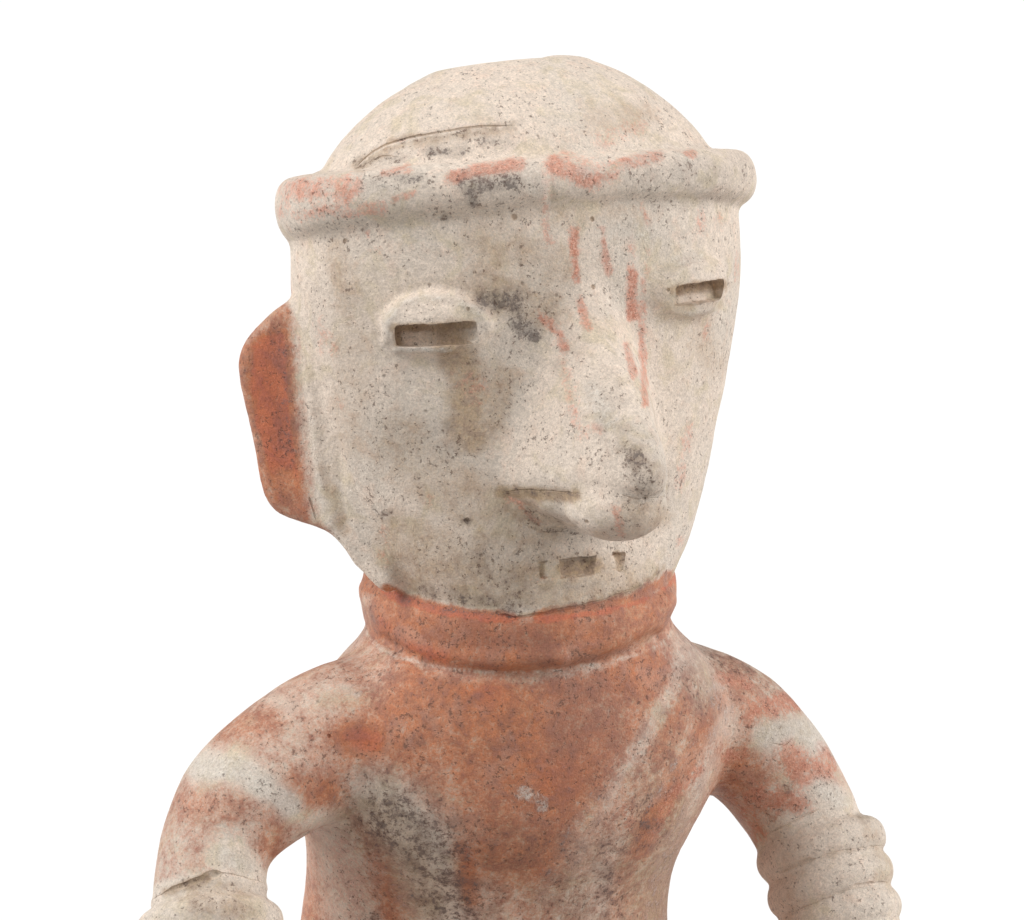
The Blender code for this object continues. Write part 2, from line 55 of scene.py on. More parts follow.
# One design millimetre in metres, from the solid's height.
DESIGN_HEIGHT = 358.9
MM = (BOX_HIGH.z - BOX_LOW.z) / DESIGN_HEIGHT

# How finely the clay is fused and how far its inner corners are smoothed, in design millimetres.
VOXEL = 0.9 * MM
BODY_BLEND = 4.0
HEAD_BLEND = 1.7
JOINT_BLEND = 0.8
SMOOTH_PASSES = 4  # that round a corner over one voxel
SMOOTH_SHARE = 0.5  # of the way, that each pass moves a point
WELD = 0.00001  # metres between points that become one
RING_POINTS = 64
BALL_SEGMENTS = 32  # round a palm, a lid or a pit
TUBE_SEGMENTS = 8  # bevel resolution of arms, legs, fingers and toes
CRACK_SEGMENTS = 2
RING_ROUNDNESS = 0.98  # how much of a half circle the edge of a band takes up
BAND_RINGS = 9
BRIM_RINGS = 11
DOME_RINGS = 13
# Steps of a smooth curve from one stop to the next.
LEVEL_STEPS = 3
LIMB_STEPS = 5
ARM_STEPS = 12  # finer, where an armlet looks for its arm
EAR_STEPS = 4
CRACK_STEPS = 8

# Head, in design millimetres: height above the ground, half width, depth in front of and behind the axis.
HEAD_LEVELS = [
    (215.0, 24.0, 23.0, 23.0),
    (218.5, 33.0, 33.5, 31.0),
    (222.5, 37.6, 39.5, 36.5),
    (228.0, 40.2, 41.0, 39.5),
    (236.0, 46.0, 40.4, 41.0),
    (244.0, 49.7, 39.4, 42.0),
    (252.0, 52.4, 39.0, 42.0),
    (260.0, 54.5, 39.0, 42.0),
    (270.0, 57.1, 39.0, 42.0),
    (282.0, 59.6, 39.0, 42.0),
    (295.0, 61.5, 39.3, 42.0),
    (306.0, 62.2, 39.8, 42.0),
    (320.0, 60.7, 39.5, 41.5),
    (330.0, 57.0, 37.0, 39.0),
]

# The lower head dips to the front, level again from this height up.
CHIN_PITCH = math.radians(10.0)
CHIN_PITCH_TOP = 262.0
CHIN_PITCH_SPAN = 36.0

# Brim of the cap, a flattened roll that rises to the front and is thinner there, and the dome over it.
CAP_Z = 323.7
CAP_PITCH = math.radians(12.0)
BRIM_TAPER = math.radians(2.8)
CAP_SIDE = 0.5
BRIM_SIZE = (66.2, 43.5, 47.0)  # half width, front and back
BRIM_HALF_HEIGHT = 7.8
BRIM_EDGE = 5.0
DOME_SIZE = (55.9, 37.5, 41.0)
DOME_RISE = 37.5
DOME_POWER = 1.72  # 2 is an ellipse; less is more pointed
DOME_TOP = 0.893  # the share of the rise at which the top is flat
DOME_LEAN = 0.8  # how far its top stands to the figure's left
DOME_ROLL = math.radians(1.5)  # how steeply the flat top rises to the figure's left
DOME_BUMP = (16.5, 32.8)  # side and lift of a low bump on the flat top
DOME_BUMP_SIZE = (8.5, 8.0, 2.6)

# Nose: height, half width of its root on the face, how far its ridge stands in front of the axis.
NOSE_LEVELS = [
    (241.0, 22.0, 39.0),
    (246.0, 25.0, 52.0),
    (250.0, 28.0, 63.0),
    (253.5, 31.0, 68.0),
    (258.0, 33.0, 74.0),
    (264.0, 34.0, 72.5),
    (272.0, 34.0, 67.0),
    (284.0, 31.0, 56.5),
    (294.0, 27.0, 47.5),
    (303.0, 22.0, 41.5),
    (313.0, 16.0, 37.5),
]
NOSE_ROOT = 29.0
NOSE_INSIDE = 12.0  # how far its back reaches into the head
NOSE_BACK = 0.8  # half width of its back, as a share of its root's
NOSE_FLANK = (0.9, 1.4)  # at the tip and above it: 1 is a round ridge; more hollows the flanks
NOSE_FLANK_HEIGHTS = (250.0, 268.0)
NOSE_BULB = (-1.0, 57.0, 251.3)
NOSE_BULB_SIZE = (12.5, 13.5, 9.3)

# Eyes: place of each slit's middle, its size, and the half sizes of the lids over and under it.
EYE_SIDE_RIGHT = 38.6
EYE_SIDE_LEFT = 32.0
EYE_Z_RIGHT = 293.6
EYE_Z_LEFT = 299.3
EYE_SLIT_RIGHT = 20.8
EYE_SLIT_LEFT = 19.3
EYE_SLIT_HEIGHT = 5.6
EYE_HOOD = (14.5, 8.4, 5.4)
EYE_HOOD_SUNK = 0.4
EYE_LOWER_LID = (12.5, 3.4, 2.0)
EYE_LOWER_LID_SUNK = 0.8

# Mouth, a shallow slot.
MOUTH_SIDE = -1.1
MOUTH_Z = 231.5
MOUTH_LENGTH = 25.0

# Ears: outline (outwards from the root, height), root, thickness, and how far they are turned to the back.
EAR_OUTLINE = [
    (-16.0, 297.0),
    (-4.0, 301.0),
    (6.0, 300.5),
    (12.0, 298.0),
    (18.5, 292.5),
    (23.0, 286.5),
    (24.4, 280.0),
    (24.1, 271.0),
    (22.9, 261.0),
    (22.2, 251.2),
    (20.6, 245.4),
    (16.6, 242.2),
    (9.0, 240.4),
    (3.5, 238.6),
    (-0.5, 234.0),
    (-3.5, 229.5),
    (-14.0, 228.0),
]
EAR_ROOT_SIDE = 56.0
EAR_ROOT_FORE = 1.0
EAR_THICKNESS = 6.4
EAR_SWEEP_RIGHT = math.radians(53.0)
EAR_SWEEP_LEFT = math.radians(60.0)
EAR_EDGE = 2.2
EAR_EDGE_SEGMENTS = 3
# Below this height the ears lean in, as the head narrows.
EAR_SLOPE_TOP = 282.0
EAR_SLOPE_LEFT = 0.30
EAR_SLOPE_RIGHT = 0.13

# Collar: a rounded band round the neck that dips to the front.
COLLAR_Z = 219.2
COLLAR_ROLL = math.radians(2.4)
COLLAR_TAPER = math.radians(3.0)  # how much more its lower edge rises to the figure's left
COLLAR_PITCH = math.radians(8.0)
COLLAR_RADIUS = 41.4
COLLAR_HALF_HEIGHT = 7.4
COLLAR_EDGE = 2.6
COLLAR_FORE = 0.5

# Torso: height, half width, depth in front and behind, place of the middle in front of the neck's axis.
TORSO_LEVELS = [
    (-6.0, 54.0, 38.0, 40.0, -22.0),
    (4.0, 61.0, 44.0, 45.0, -22.0),
    (18.0, 65.5, 47.0, 48.5, -22.0),
    (40.0, 65.5, 47.0, 48.5, -22.0),
    (65.0, 62.0, 45.5, 45.0, -22.0),
    (90.0, 57.0, 42.0, 40.0, -21.8),
    (112.0, 53.0, 39.5, 36.5, -21.3),
    (128.0, 51.8, 38.0, 34.5, -20.0),
    (140.0, 51.6, 38.0, 35.0, -16.6),
    (152.0, 54.0, 39.0, 38.5, -9.8),
    (163.0, 57.5, 40.5, 40.5, -5.5),
    (175.0, 60.5, 40.5, 40.0, -3.0),
    (188.0, 60.0, 39.5, 39.0, -1.5),
    (197.0, 54.0, 38.5, 38.5, -0.5),
    (204.0, 47.5, 37.2, 38.0, 0.0),
    (210.0, 41.0, 36.4, 37.2, 0.5),
    (222.0, 37.0, 35.8, 37.0, 0.5),
]

# Arms: side, forward, height and radius of stops along each limb.
RIGHT_ARM = [
    (-30.0, -1.0, 188.0, 19.0),
    (-50.0, -1.0, 186.6, 18.4),
    (-67.0, 0.0, 179.2, 18.2),
    (-80.6, 1.0, 170.6, 16.6),
    (-88.6, 3.0, 160.0, 14.3),
    (-91.8, 7.0, 147.5, 14.9),
    (-93.8, 12.0, 133.5, 15.5),
    (-96.5, 17.5, 119.5, 14.8),
    (-98.0, 25.0, 107.0, 13.8),
    (-95.0, 36.0, 99.5, 12.4),
    (-89.0, 48.0, 97.0, 11.2),
    (-82.0, 60.0, 93.5, 9.6),
]
LEFT_ARM = [
    (30.0, -1.0, 187.6, 19.8),
    (48.0, -1.0, 183.8, 18.0),
    (61.5, 0.5, 177.8, 17.4),
    (72.3, 2.0, 168.3, 16.7),
    (79.6, 4.5, 157.8, 15.8),
    (84.2, 8.3, 146.0, 15.1),
    (86.2, 13.0, 132.5, 14.4),
    (88.0, 18.0, 119.5, 14.0),
    (89.0, 25.0, 107.0, 13.4),
    (88.0, 36.0, 99.5, 12.4),
    (84.0, 48.0, 97.0, 11.2),
    (80.0, 60.0, 93.5, 9.6),
]

# Armlets: coils stacked down each upper arm from a height, along an axis that leans in and back.
COIL_COUNT = 4
COIL_PITCH = 10.0
COIL_SUNK = 1.5
COIL_ROUNDNESS = 0.92
COIL_FORWARD = 0.6
COIL_LEAN = (-0.1, -0.45, 0.89)
# For each armlet: the height it starts at, how proud it stands and how far it is shifted outwards.
RIGHT_COILS = (142.4, 3.8, 0.4)
LEFT_COILS = (143.0, 3.1, 1.2)

# Legs and feet, drawn for the left side and mirrored: side, forward, height and radius.
LEG = [
    (22.0, -24.0, 32.0, 30.0),
    (41.0, 4.0, 41.0, 29.5),
    (58.0, 32.0, 53.0, 26.5),
    (70.0, 54.0, 64.0, 23.5),
    (76.0, 69.0, 68.0, 21.5),
    (76.5, 80.0, 60.0, 19.8),
    (74.5, 84.0, 44.0, 18.4),
    (71.5, 82.0, 28.0, 16.6),
    (69.5, 79.0, 12.0, 15.0),
]
FOOT_HEEL = (68.5, 72.0, 8.0)
FOOT_BALL = (74.0, 107.0, 6.5)
FOOT_SHARES = (0.66, 0.84, 0.9, 1.0, 1.04, 0.94)  # of its half width, from the heel to the ball
FOOT_HALF_WIDTH = 16.0
FOOT_HALF_THICK = 10.5
TOE_COUNT = 5
TOE_ROW = 0.84  # half width of the row of toes as a share of the foot's
TOE_RADIUS = 3.9
BIG_TOE = 1.25
TOE_LENGTH = 12.0
TOE_SUNK = 5.0
TOE_SHORTER = 0.3  # how much the outer toe falls short
TOE_SHAPE = ((0.0, 1.0), (0.5, 1.05), (0.9, 0.9), (1.0, 0.5))  # share of the length, share of the radius

# Hands, laid over the knees: angles round the knee in degrees above level, the thumb's first, and sizes.
KNEE = LEG[4]
PALM_ANGLE = 103.0
PALM_HALF_SIZE = (14.5, 15.5, 7.0)
PALM_ABOVE = 1.0
FINGER_SPREAD = 12.0
FINGER_RADIUS = 4.0
FINGER_ABOVE = 1.2
FINGER_FAN = (0.8, 1.1)  # how far apart the fingers lie at their roots and tips, as shares of the spread
FINGER_THIN = (1.05, 0.8)  # their roots and tips, as shares of the radius
FINGER_START = 92.0
FINGER_REACH = (44.0, 72.0, 80.0, 74.0, 62.0)

SIDE, FORE, UP = Vector((1, 0, 0)), Vector((0, -1, 0)), Vector((0, 0, 1))


def place(side, fore, height):
    """A point from its distance to the figure's left, in front of the axis and above the ground."""
    return Vector((side, -fore, height)) * MM


def catmull(stops, steps):
    """Points on a smooth curve through the stops, steps of them for each stretch."""
    rows = [np.array(s, float) for s in stops]
    rows = [2 * rows[0] - rows[1], *rows, 2 * rows[-1] - rows[-2]]
    made = []
    for a, b, c, d in zip(rows, rows[1:], rows[2:], rows[3:]):
        for t in np.arange(steps) / steps:
            bend = (2 * a - 5 * b + 4 * c - d) * t**2 + (3 * b - a - 3 * c + d) * t**3
            made.append(0.5 * (2 * b + (c - a) * t + bend))
    made.append(rows[-2])
    return made


def turn_angles():
    return [2 * math.pi * k / RING_POINTS for k in range(RING_POINTS)]


def oval(centre, width, front, back, pitch=0.0, roll=0.0):
    """A closed ring round centre. Its plane rises to the front by pitch and to the figure's left by roll."""
    ring = []
    for angle in turn_angles():
        side = width * math.cos(angle)
        fore = (front if angle < math.pi else back) * math.sin(angle)
        height = fore * math.sin(pitch) + side * math.sin(roll)
        ring.append(centre + place(side * math.cos(roll), fore * math.cos(pitch), height))
    return ring


def half_circle(share):
    """Height of a half circle at a share of its radius from the middle, and a little at its ends."""
    return math.sqrt(1 - (RING_ROUNDNESS * share) ** 2)


def new_object(name, data):
    obj = bpy.data.objects.new(name, data)
    bpy.context.scene.collection.objects.link(obj)
    return obj


def from_bmesh(name, bm):
    """A new object that takes over the bmesh, with its faces turned out."""
    bmesh.ops.recalc_face_normals(bm, faces=bm.faces)
    if bm.calc_volume(signed=True) < 0:
        bmesh.ops.reverse_faces(bm, faces=bm.faces)
    mesh = bpy.data.meshes.new(name)
    bm.to_mesh(mesh)
    bm.free()
    return new_object(name, mesh)


def evaluated_mesh(obj):
    bpy.context.view_layer.update()
    graph = bpy.context.evaluated_depsgraph_get()
    return bpy.data.meshes.new_from_object(obj.evaluated_get(graph))


def loft(name, rings):
    """A closed solid through a stack of rings that have the same number of points."""
    bm = bmesh.new()
    rows = [[bm.verts.new(point) for point in ring] for ring in rings]
    count = len(rings[0])
    for low, high in zip(rows, rows[1:]):
        for k in range(count):
            after = (k + 1) % count
            bm.faces.new((low[k], low[after], high[after], high[k]))
    bm.faces.new(rows[0])
    bm.faces.new(rows[-1])
    return from_bmesh(name, bm)


def from_curve(name, curve):
    """The curve object as a mesh with its caps welded on. The curve is removed."""
    bm = bmesh.new()
    bm.from_mesh(evaluated_mesh(curve))
    bmesh.ops.remove_doubles(bm, verts=bm.verts, dist=WELD)
    bpy.data.objects.remove(curve)
    return from_bmesh(name, bm)


def tube(name, points, radii, segments=TUBE_SEGMENTS):
    """A round tube along the points, with radii in design millimetres."""
    data = bpy.data.curves.new(name, "CURVE")
    data.dimensions = "3D"
    data.bevel_depth = MM
    data.bevel_resolution = segments
    data.use_fill_caps = True
    spline = data.splines.new("POLY")
    spline.points.add(len(points) - 1)
    for stop, point, radius in zip(spline.points, points, radii):
        stop.co = (*point, 1.0)
        stop.radius = radius
    return from_curve(name, new_object(name + "_path", data))


def limb(name, stops):
    """A round tube whose thickness changes along a smooth path."""
    path = catmull(stops, LIMB_STEPS)
    return tube(name, [place(*stop[:3]) for stop in path], [stop[3] for stop in path])


def to_world(centre, axes, size):
    """The matrix that takes a unit shape to centre, with its sizes in design millimetres along three axes."""
    turned = Matrix(axes).transposed().to_4x4()
    return Matrix.Translation(centre) @ turned @ Matrix.Diagonal((*(Vector(size) * MM), 1.0))


def ellipsoid(name, centre, axes, half_size):
    bm = bmesh.new()
    bmesh.ops.create_uvsphere(bm, u_segments=BALL_SEGMENTS, v_segments=BALL_SEGMENTS // 2, radius=1.0)
    bm.transform(to_world(centre, axes, half_size))
    return from_bmesh(name, bm)


def block(name, centre, axes, size):
    """A box that cuts, so it isn't drawn."""
    bm = bmesh.new()
    bmesh.ops.create_cube(bm, size=1.0)
    bm.transform(to_world(centre, axes, size))
    obj = from_bmesh(name, bm)
    obj.hide_render = True
    obj.display_type = "WIRE"
    return obj


def apply_modifiers(obj):
    mesh = evaluated_mesh(obj)
    obj.modifiers.clear()
    obj.data = mesh


def fuse(name, pieces, blend):
    """One closed skin over all the pieces, with inner corners smoothed over about blend millimetres."""
    bm = bmesh.new()
    for piece in pieces:
        bm.from_mesh(piece.data)
        bpy.data.objects.remove(piece)
    obj = from_bmesh(name, bm)
    remesh = obj.modifiers.new("fuse", "REMESH")
    remesh.mode = "VOXEL"
    remesh.voxel_size = VOXEL
    smooth = obj.modifiers.new("blend", "SMOOTH")
    smooth.factor = SMOOTH_SHARE
    smooth.iterations = max(1, round(SMOOTH_PASSES * (blend * MM / VOXEL) ** 2))
    apply_modifiers(obj)
    return obj


def make_torso():
    levels = catmull(TORSO_LEVELS, LEVEL_STEPS)
    return loft("torso", [oval(place(0, fore, z), *sizes) for z, *sizes, fore in levels])


def mirrored(stops):
    return [(-stop[0], *stop[1:]) for stop in stops]


def make_foot(side):
    """A rounded foot from the heel to the ball, and its toes, the big one inside."""
    heel, ball = Vector(FOOT_HEEL), Vector(FOOT_BALL)
    heel.x *= side
    ball.x *= side
    ahead = (ball - heel).normalized()
    outward = Vector((ahead.y, -ahead.x, 0)).normalized() * side
    rings = []
    for k, share in enumerate(FOOT_SHARES):
        middle = heel.lerp(ball, k / (len(FOOT_SHARES) - 1))
        ring = []
        for angle in turn_angles():
            across = outward * (FOOT_HALF_WIDTH * share * math.cos(angle))
            ring.append(place(*(middle + across + UP * (FOOT_HALF_THICK * math.sin(angle)))))
        rings.append(ring)
    pieces = [loft("foot", rings)]
    for k in range(TOE_COUNT):
        spread = 1 - 2 * k / (TOE_COUNT - 1)
        radius = TOE_RADIUS * (BIG_TOE if k == TOE_COUNT - 1 else 1.0)
        start = ball + outward * (FOOT_HALF_WIDTH * TOE_ROW * spread) - ahead * TOE_SUNK
        reach = TOE_LENGTH * (1 - TOE_SHORTER * max(0.0, spread))
        stops = [(*(start + ahead * (reach * t)), radius * thin) for t, thin in TOE_SHAPE]
        pieces.append(limb("toe", stops))
    return pieces


def round_knee(side, offset, angle, above):
    """A point above the knee's skin: offset across it, at an angle over the front."""
    across, fore, height, radius = KNEE
    reach = math.sqrt(max(0.0, radius**2 - offset**2)) + above
    turn = math.radians(angle)
    return side * (across + offset), fore + reach * math.cos(turn), height + reach * math.sin(turn)


def make_hand(side):
    """A palm on the knee and fingers that bend over it, the thumb on the inner side."""
    turn = math.radians(PALM_ANGLE)
    up = Vector((0, -math.cos(turn), math.sin(turn)))
    centre = place(*round_knee(side, 0, PALM_ANGLE, PALM_ABOVE))
    pieces = [ellipsoid("palm", centre, (SIDE, up.cross(SIDE), up), PALM_HALF_SIZE)]
    for k, reach in enumerate(FINGER_REACH):
        spread = 2 * k / (len(FINGER_REACH) - 1) - 1
        stops = []
        for t in (0.0, 0.25, 0.5, 0.75, 1.0):
            offset = FINGER_SPREAD * spread * float(np.interp(t, (0, 1), FINGER_FAN))
            radius = FINGER_RADIUS * float(np.interp(t**3, (0, 1), FINGER_THIN))
            stops.append((*round_knee(side, offset, FINGER_START - reach * t, FINGER_ABOVE), radius))
        pieces.append(limb("finger", stops))
    return pieces


def make_body():
    pieces = [make_torso(), limb("arm", RIGHT_ARM), limb("arm", LEFT_ARM)]
    pieces += [limb("leg", LEG), limb("leg", mirrored(LEG))]
    return fuse("body", pieces, BODY_BLEND)


def arm_at(stops, height):
    """Middle and radius of the upper arm where it passes a height."""
    for side, fore, z, radius in catmull(stops, ARM_STEPS):
        if z <= height and abs(side) > abs(stops[1][0]):
            return place(side, fore, z), radius
    raise ValueError("the arm never comes down to this height")


def make_coils(side, stops, top, proud, outward):
    """The armlet: rolls of clay stacked down the arm."""
    lean, fore, rise = COIL_LEAN
    axis = place(side * lean, fore, rise).normalized()
    across = axis.cross(FORE).normalized()
    other = axis.cross(across)
    coils = []
    for k in range(COIL_COUNT):
        middle, radius = arm_at(stops, top - k * COIL_PITCH * rise)
        middle += place(side * outward, COIL_FORWARD, 0)
        rings = []
        for share in np.linspace(1, -1, BAND_RINGS):
            swell = math.sqrt(1 - (COIL_ROUNDNESS * share) ** 2)
            reach = (radius - COIL_SUNK + (proud + COIL_SUNK) * swell) * MM
            centre = middle + axis * (share * COIL_PITCH * 0.5 * MM)
            spokes = (across * math.cos(angle) + other * math.sin(angle) for angle in turn_angles())
            rings.append([centre + spoke * reach for spoke in spokes])
        coils.append(loft("coil", rings))
    return coils


def make_collar():
    """A round band in a plane that dips to the front."""
    rings = []
    for share in np.linspace(-1, 1, BAND_RINGS):
        radius = COLLAR_RADIUS - COLLAR_EDGE * (1 - half_circle(share))
        lift = share * COLLAR_HALF_HEIGHT
        fore = COLLAR_FORE + lift * math.sin(COLLAR_PITCH)
        centre = place(0, fore, COLLAR_Z + lift * math.cos(COLLAR_PITCH))
        roll = COLLAR_ROLL + COLLAR_TAPER * 0.5 * (1 - share)
        rings.append(oval(centre, radius, radius, radius, -COLLAR_PITCH, roll))
    return loft("collar", rings)


def make_skull():
    rings = []
    for z, width, front, back in catmull(HEAD_LEVELS, LEVEL_STEPS):
        dip = CHIN_PITCH * min(1.0, max(0.0, (CHIN_PITCH_TOP - z) / CHIN_PITCH_SPAN))
        rings.append(oval(place(0, 0, z), width, front, back, -dip))
    return loft("skull", rings)


def above_cap(lift, aside=0.0):
    """The cap's middle, lift up along its leaning axis and moved to the figure's left by aside."""
    return place(CAP_SIDE + aside, -lift * math.sin(CAP_PITCH), CAP_Z + lift * math.cos(CAP_PITCH))


def make_brim():
    rings = []
    for share in np.linspace(-1, 1, BRIM_RINGS):
        inset = BRIM_EDGE * (1 - half_circle(share))
        sizes = (size - inset for size in BRIM_SIZE)
        rings.append(oval(above_cap(share * BRIM_HALF_HEIGHT), *sizes, CAP_PITCH - share * BRIM_TAPER))
    return loft("brim", rings)


def make_dome():
    rings = []
    for step in np.linspace(0, 1, DOME_RINGS):
        climbed = DOME_TOP * math.sin(0.5 * math.pi * step)
        spread = (1 - climbed**DOME_POWER) ** (1 / DOME_POWER)
        sizes = (size * spread for size in DOME_SIZE)
        centre = above_cap(DOME_RISE * climbed, DOME_LEAN * climbed**3)
        rings.append(oval(centre, *sizes, CAP_PITCH, DOME_ROLL * climbed**3))
    side, lift = DOME_BUMP
    bump = ellipsoid("dome_bump", above_cap(lift, side), (SIDE, FORE, -UP), DOME_BUMP_SIZE)
    return [loft("dome", rings), bump]


def make_nose():
    """A long ridge with hollow flanks and a slanting underside, and the rounded tip that hangs from it."""
    rings = []
    for z, wide, ridge in catmull(NOSE_LEVELS, LEVEL_STEPS):
        ring = []
        flank = float(np.interp(z, NOSE_FLANK_HEIGHTS, NOSE_FLANK))
        for share in np.linspace(-1, 1, RING_POINTS):
            rise = (0.5 + 0.5 * math.cos(math.pi * share)) ** flank
            ring.append(place(wide * share, NOSE_ROOT + (ridge - NOSE_ROOT) * rise, z))
        ring += [place(wide * share, NOSE_ROOT - NOSE_INSIDE, z) for share in (NOSE_BACK, -NOSE_BACK)]
        rings.append(ring)
    bulb = ellipsoid("nose_bulb", place(*NOSE_BULB), (SIDE, FORE, -UP), NOSE_BULB_SIZE)
    return [loft("nose", rings), bulb]


def make_ear(side):
    """A flat slab with rounded edges, swept back from the side of the head."""
    data = bpy.data.curves.new("ear_outline", "CURVE")
    data.dimensions = "2D"
    data.fill_mode = "BOTH"
    data.extrude = (EAR_THICKNESS * 0.5 - EAR_EDGE) * MM
    data.bevel_depth = EAR_EDGE * MM
    data.offset = -EAR_EDGE * MM
    data.bevel_resolution = EAR_EDGE_SEGMENTS
    spline = data.splines.new("POLY")
    outline = catmull([*EAR_OUTLINE, EAR_OUTLINE[0]], EAR_STEPS)[:-1]
    spline.points.add(len(outline) - 1)
    for point, (out, z) in zip(spline.points, outline):
        point.co = (out * MM, z * MM, 0, 1)
    spline.use_cyclic_u = True
    ear = from_curve("ear", new_object("ear_outline", data))
    sweep, slope = (EAR_SWEEP_LEFT, EAR_SLOPE_LEFT) if side > 0 else (EAR_SWEEP_RIGHT, EAR_SLOPE_RIGHT)
    outward = Vector((side * math.cos(sweep), math.sin(sweep), 0))
    turned = Matrix((outward, UP, outward.cross(UP))).transposed().to_4x4()
    ear.data.transform(Matrix.Translation(place(side * EAR_ROOT_SIDE, EAR_ROOT_FORE, 0)) @ turned)
    for vertex in ear.data.vertices:
        vertex.co.x -= side * slope * max(0.0, EAR_SLOPE_TOP * MM - vertex.co.z)
    return ear


def head_surface(side, z):
    """Point and outward normal on the front of the skull."""
    rows = np.array(catmull(HEAD_LEVELS, LEVEL_STEPS))
    width = np.interp(z, rows[:, 0], rows[:, 1])
    front = np.interp(z, rows[:, 0], rows[:, 2])
    fore = front * math.sqrt(1 - (side / width) ** 2)
    return place(side, fore, z), Vector((side / width**2, -fore / front**2, 0)).normalized()


def eye_frames():
    """For each eye the middle of its slit, its length, and axes along it, upwards and out of the face."""
    eyes = ((-EYE_SIDE_RIGHT, EYE_Z_RIGHT, EYE_SLIT_RIGHT), (EYE_SIDE_LEFT, EYE_Z_LEFT, EYE_SLIT_LEFT))
    for side, z, length in eyes:
        point, normal = head_surface(side, z)
        yield point, length, (UP.cross(normal).normalized(), UP, normal)


def make_lids():
    lids = []
    for point, _, axes in eye_frames():
        normal = axes[2]
        over = point + (UP * (EYE_SLIT_HEIGHT * 0.5 - EYE_HOOD_SUNK) - normal * EYE_HOOD_SUNK) * MM
        under = point - (UP * (EYE_SLIT_HEIGHT * 0.5) + normal * EYE_LOWER_LID_SUNK) * MM
        lids.append(ellipsoid("hood", over, axes, EYE_HOOD))
        lids.append(ellipsoid("lower_lid", under, axes, EYE_LOWER_LID))
    return lids


def make_head():
    pieces = [make_skull(), make_brim(), *make_dome(), *make_nose(), *make_lids(), make_ear(-1), make_ear(1)]
    return fuse("head", pieces, HEAD_BLEND)


# The camera, as the photograph was taken: degrees, design millimetres, and the frame in pixels.
VIEW_AZIMUTH = math.radians(-27.0)
VIEW_ELEVATION = math.radians(9.5)
VIEW_DISTANCE = 1500.0
VIEW_AIM = 253.7
VIEW_ASIDE = 1.56
VIEW_LENS = 202.8
SENSOR = 36.0
PHOTO_WIDTH, PHOTO_HEIGHT = 1024, 920


def camera_axes():
    """Unit vectors to the right, up and back towards the camera."""
    sideways = Vector((math.cos(VIEW_AZIMUTH), math.sin(VIEW_AZIMUTH), 0))
    level = Vector((math.sin(VIEW_AZIMUTH), -math.cos(VIEW_AZIMUTH), 0))
    back = level * math.cos(VIEW_ELEVATION) + UP * math.sin(VIEW_ELEVATION)
    return sideways, back.cross(sideways), back


def camera_place(neck):
    sideways, _, back = camera_axes()
    return neck + (UP * VIEW_AIM - sideways * VIEW_ASIDE + back * VIEW_DISTANCE) * MM


def make_camera(neck):
    data = bpy.data.cameras.new("camera")
    data.lens = VIEW_LENS
    data.sensor_width = SENSOR
    camera = new_object("camera", data)
    camera.location = camera_place(neck)
    camera.rotation_mode = "QUATERNION"
    camera.rotation_quaternion = (-camera_axes()[2]).to_track_quat("-Z", "Y")
    bpy.context.scene.camera = camera


def to_photo(points, neck):
    """Pixels of the photograph at which the points lie."""
    sideways, upwards, back = camera_axes()
    away = points - np.array(camera_place(neck))
    depth = -(away @ np.array(back))
    zoom = VIEW_LENS / SENSOR * PHOTO_WIDTH / depth
    across = PHOTO_WIDTH / 2 + (away @ np.array(sideways)) * zoom
    down = PHOTO_HEIGHT / 2 - (away @ np.array(upwards)) * zoom
    return np.stack([across, down], axis=1)


def on_surface(pixel, tree, neck):
    """Point and normal of the surface at a pixel of the photograph."""
    sideways, upwards, back = camera_axes()
    across = (pixel[0] - PHOTO_WIDTH / 2) * SENSOR / PHOTO_WIDTH / VIEW_LENS
    down = (pixel[1] - PHOTO_HEIGHT / 2) * SENSOR / PHOTO_WIDTH / VIEW_LENS
    ray = sideways * across - upwards * down - back
    point, normal, _, _ = tree.ray_cast(camera_place(neck), ray.normalized())
    return point, normal


# Relief that the hand left: size of the lumps and how high they stand, in design millimetres.
LUMPS = [(26.0, 0.5), (10.0, 0.2), (4.2, 0.09)]

# How the skin is thinned out at the end, and what counts as seen.
TRIANGLES = 190000
HIDDEN_KEPT = 0.2  # of the triangles that the photograph doesn't show
SEEN_ABOVE = 118.0  # what lies lower is outside the photograph
SEEN_EDGE = 0.1  # cosine of the angle to the camera from which a surface shows in full
OFF_SKIN = 0.4  # how far from the skin a ray to the camera starts
SHARP_ANGLE = math.radians(50)  # between faces that don't shade smoothly into each other

RELIEF_REACH = 1.5  # of its half width, where a line's relief ends
RELIEF_LEAST = 0.01  # in design millimetres, the lift that counts
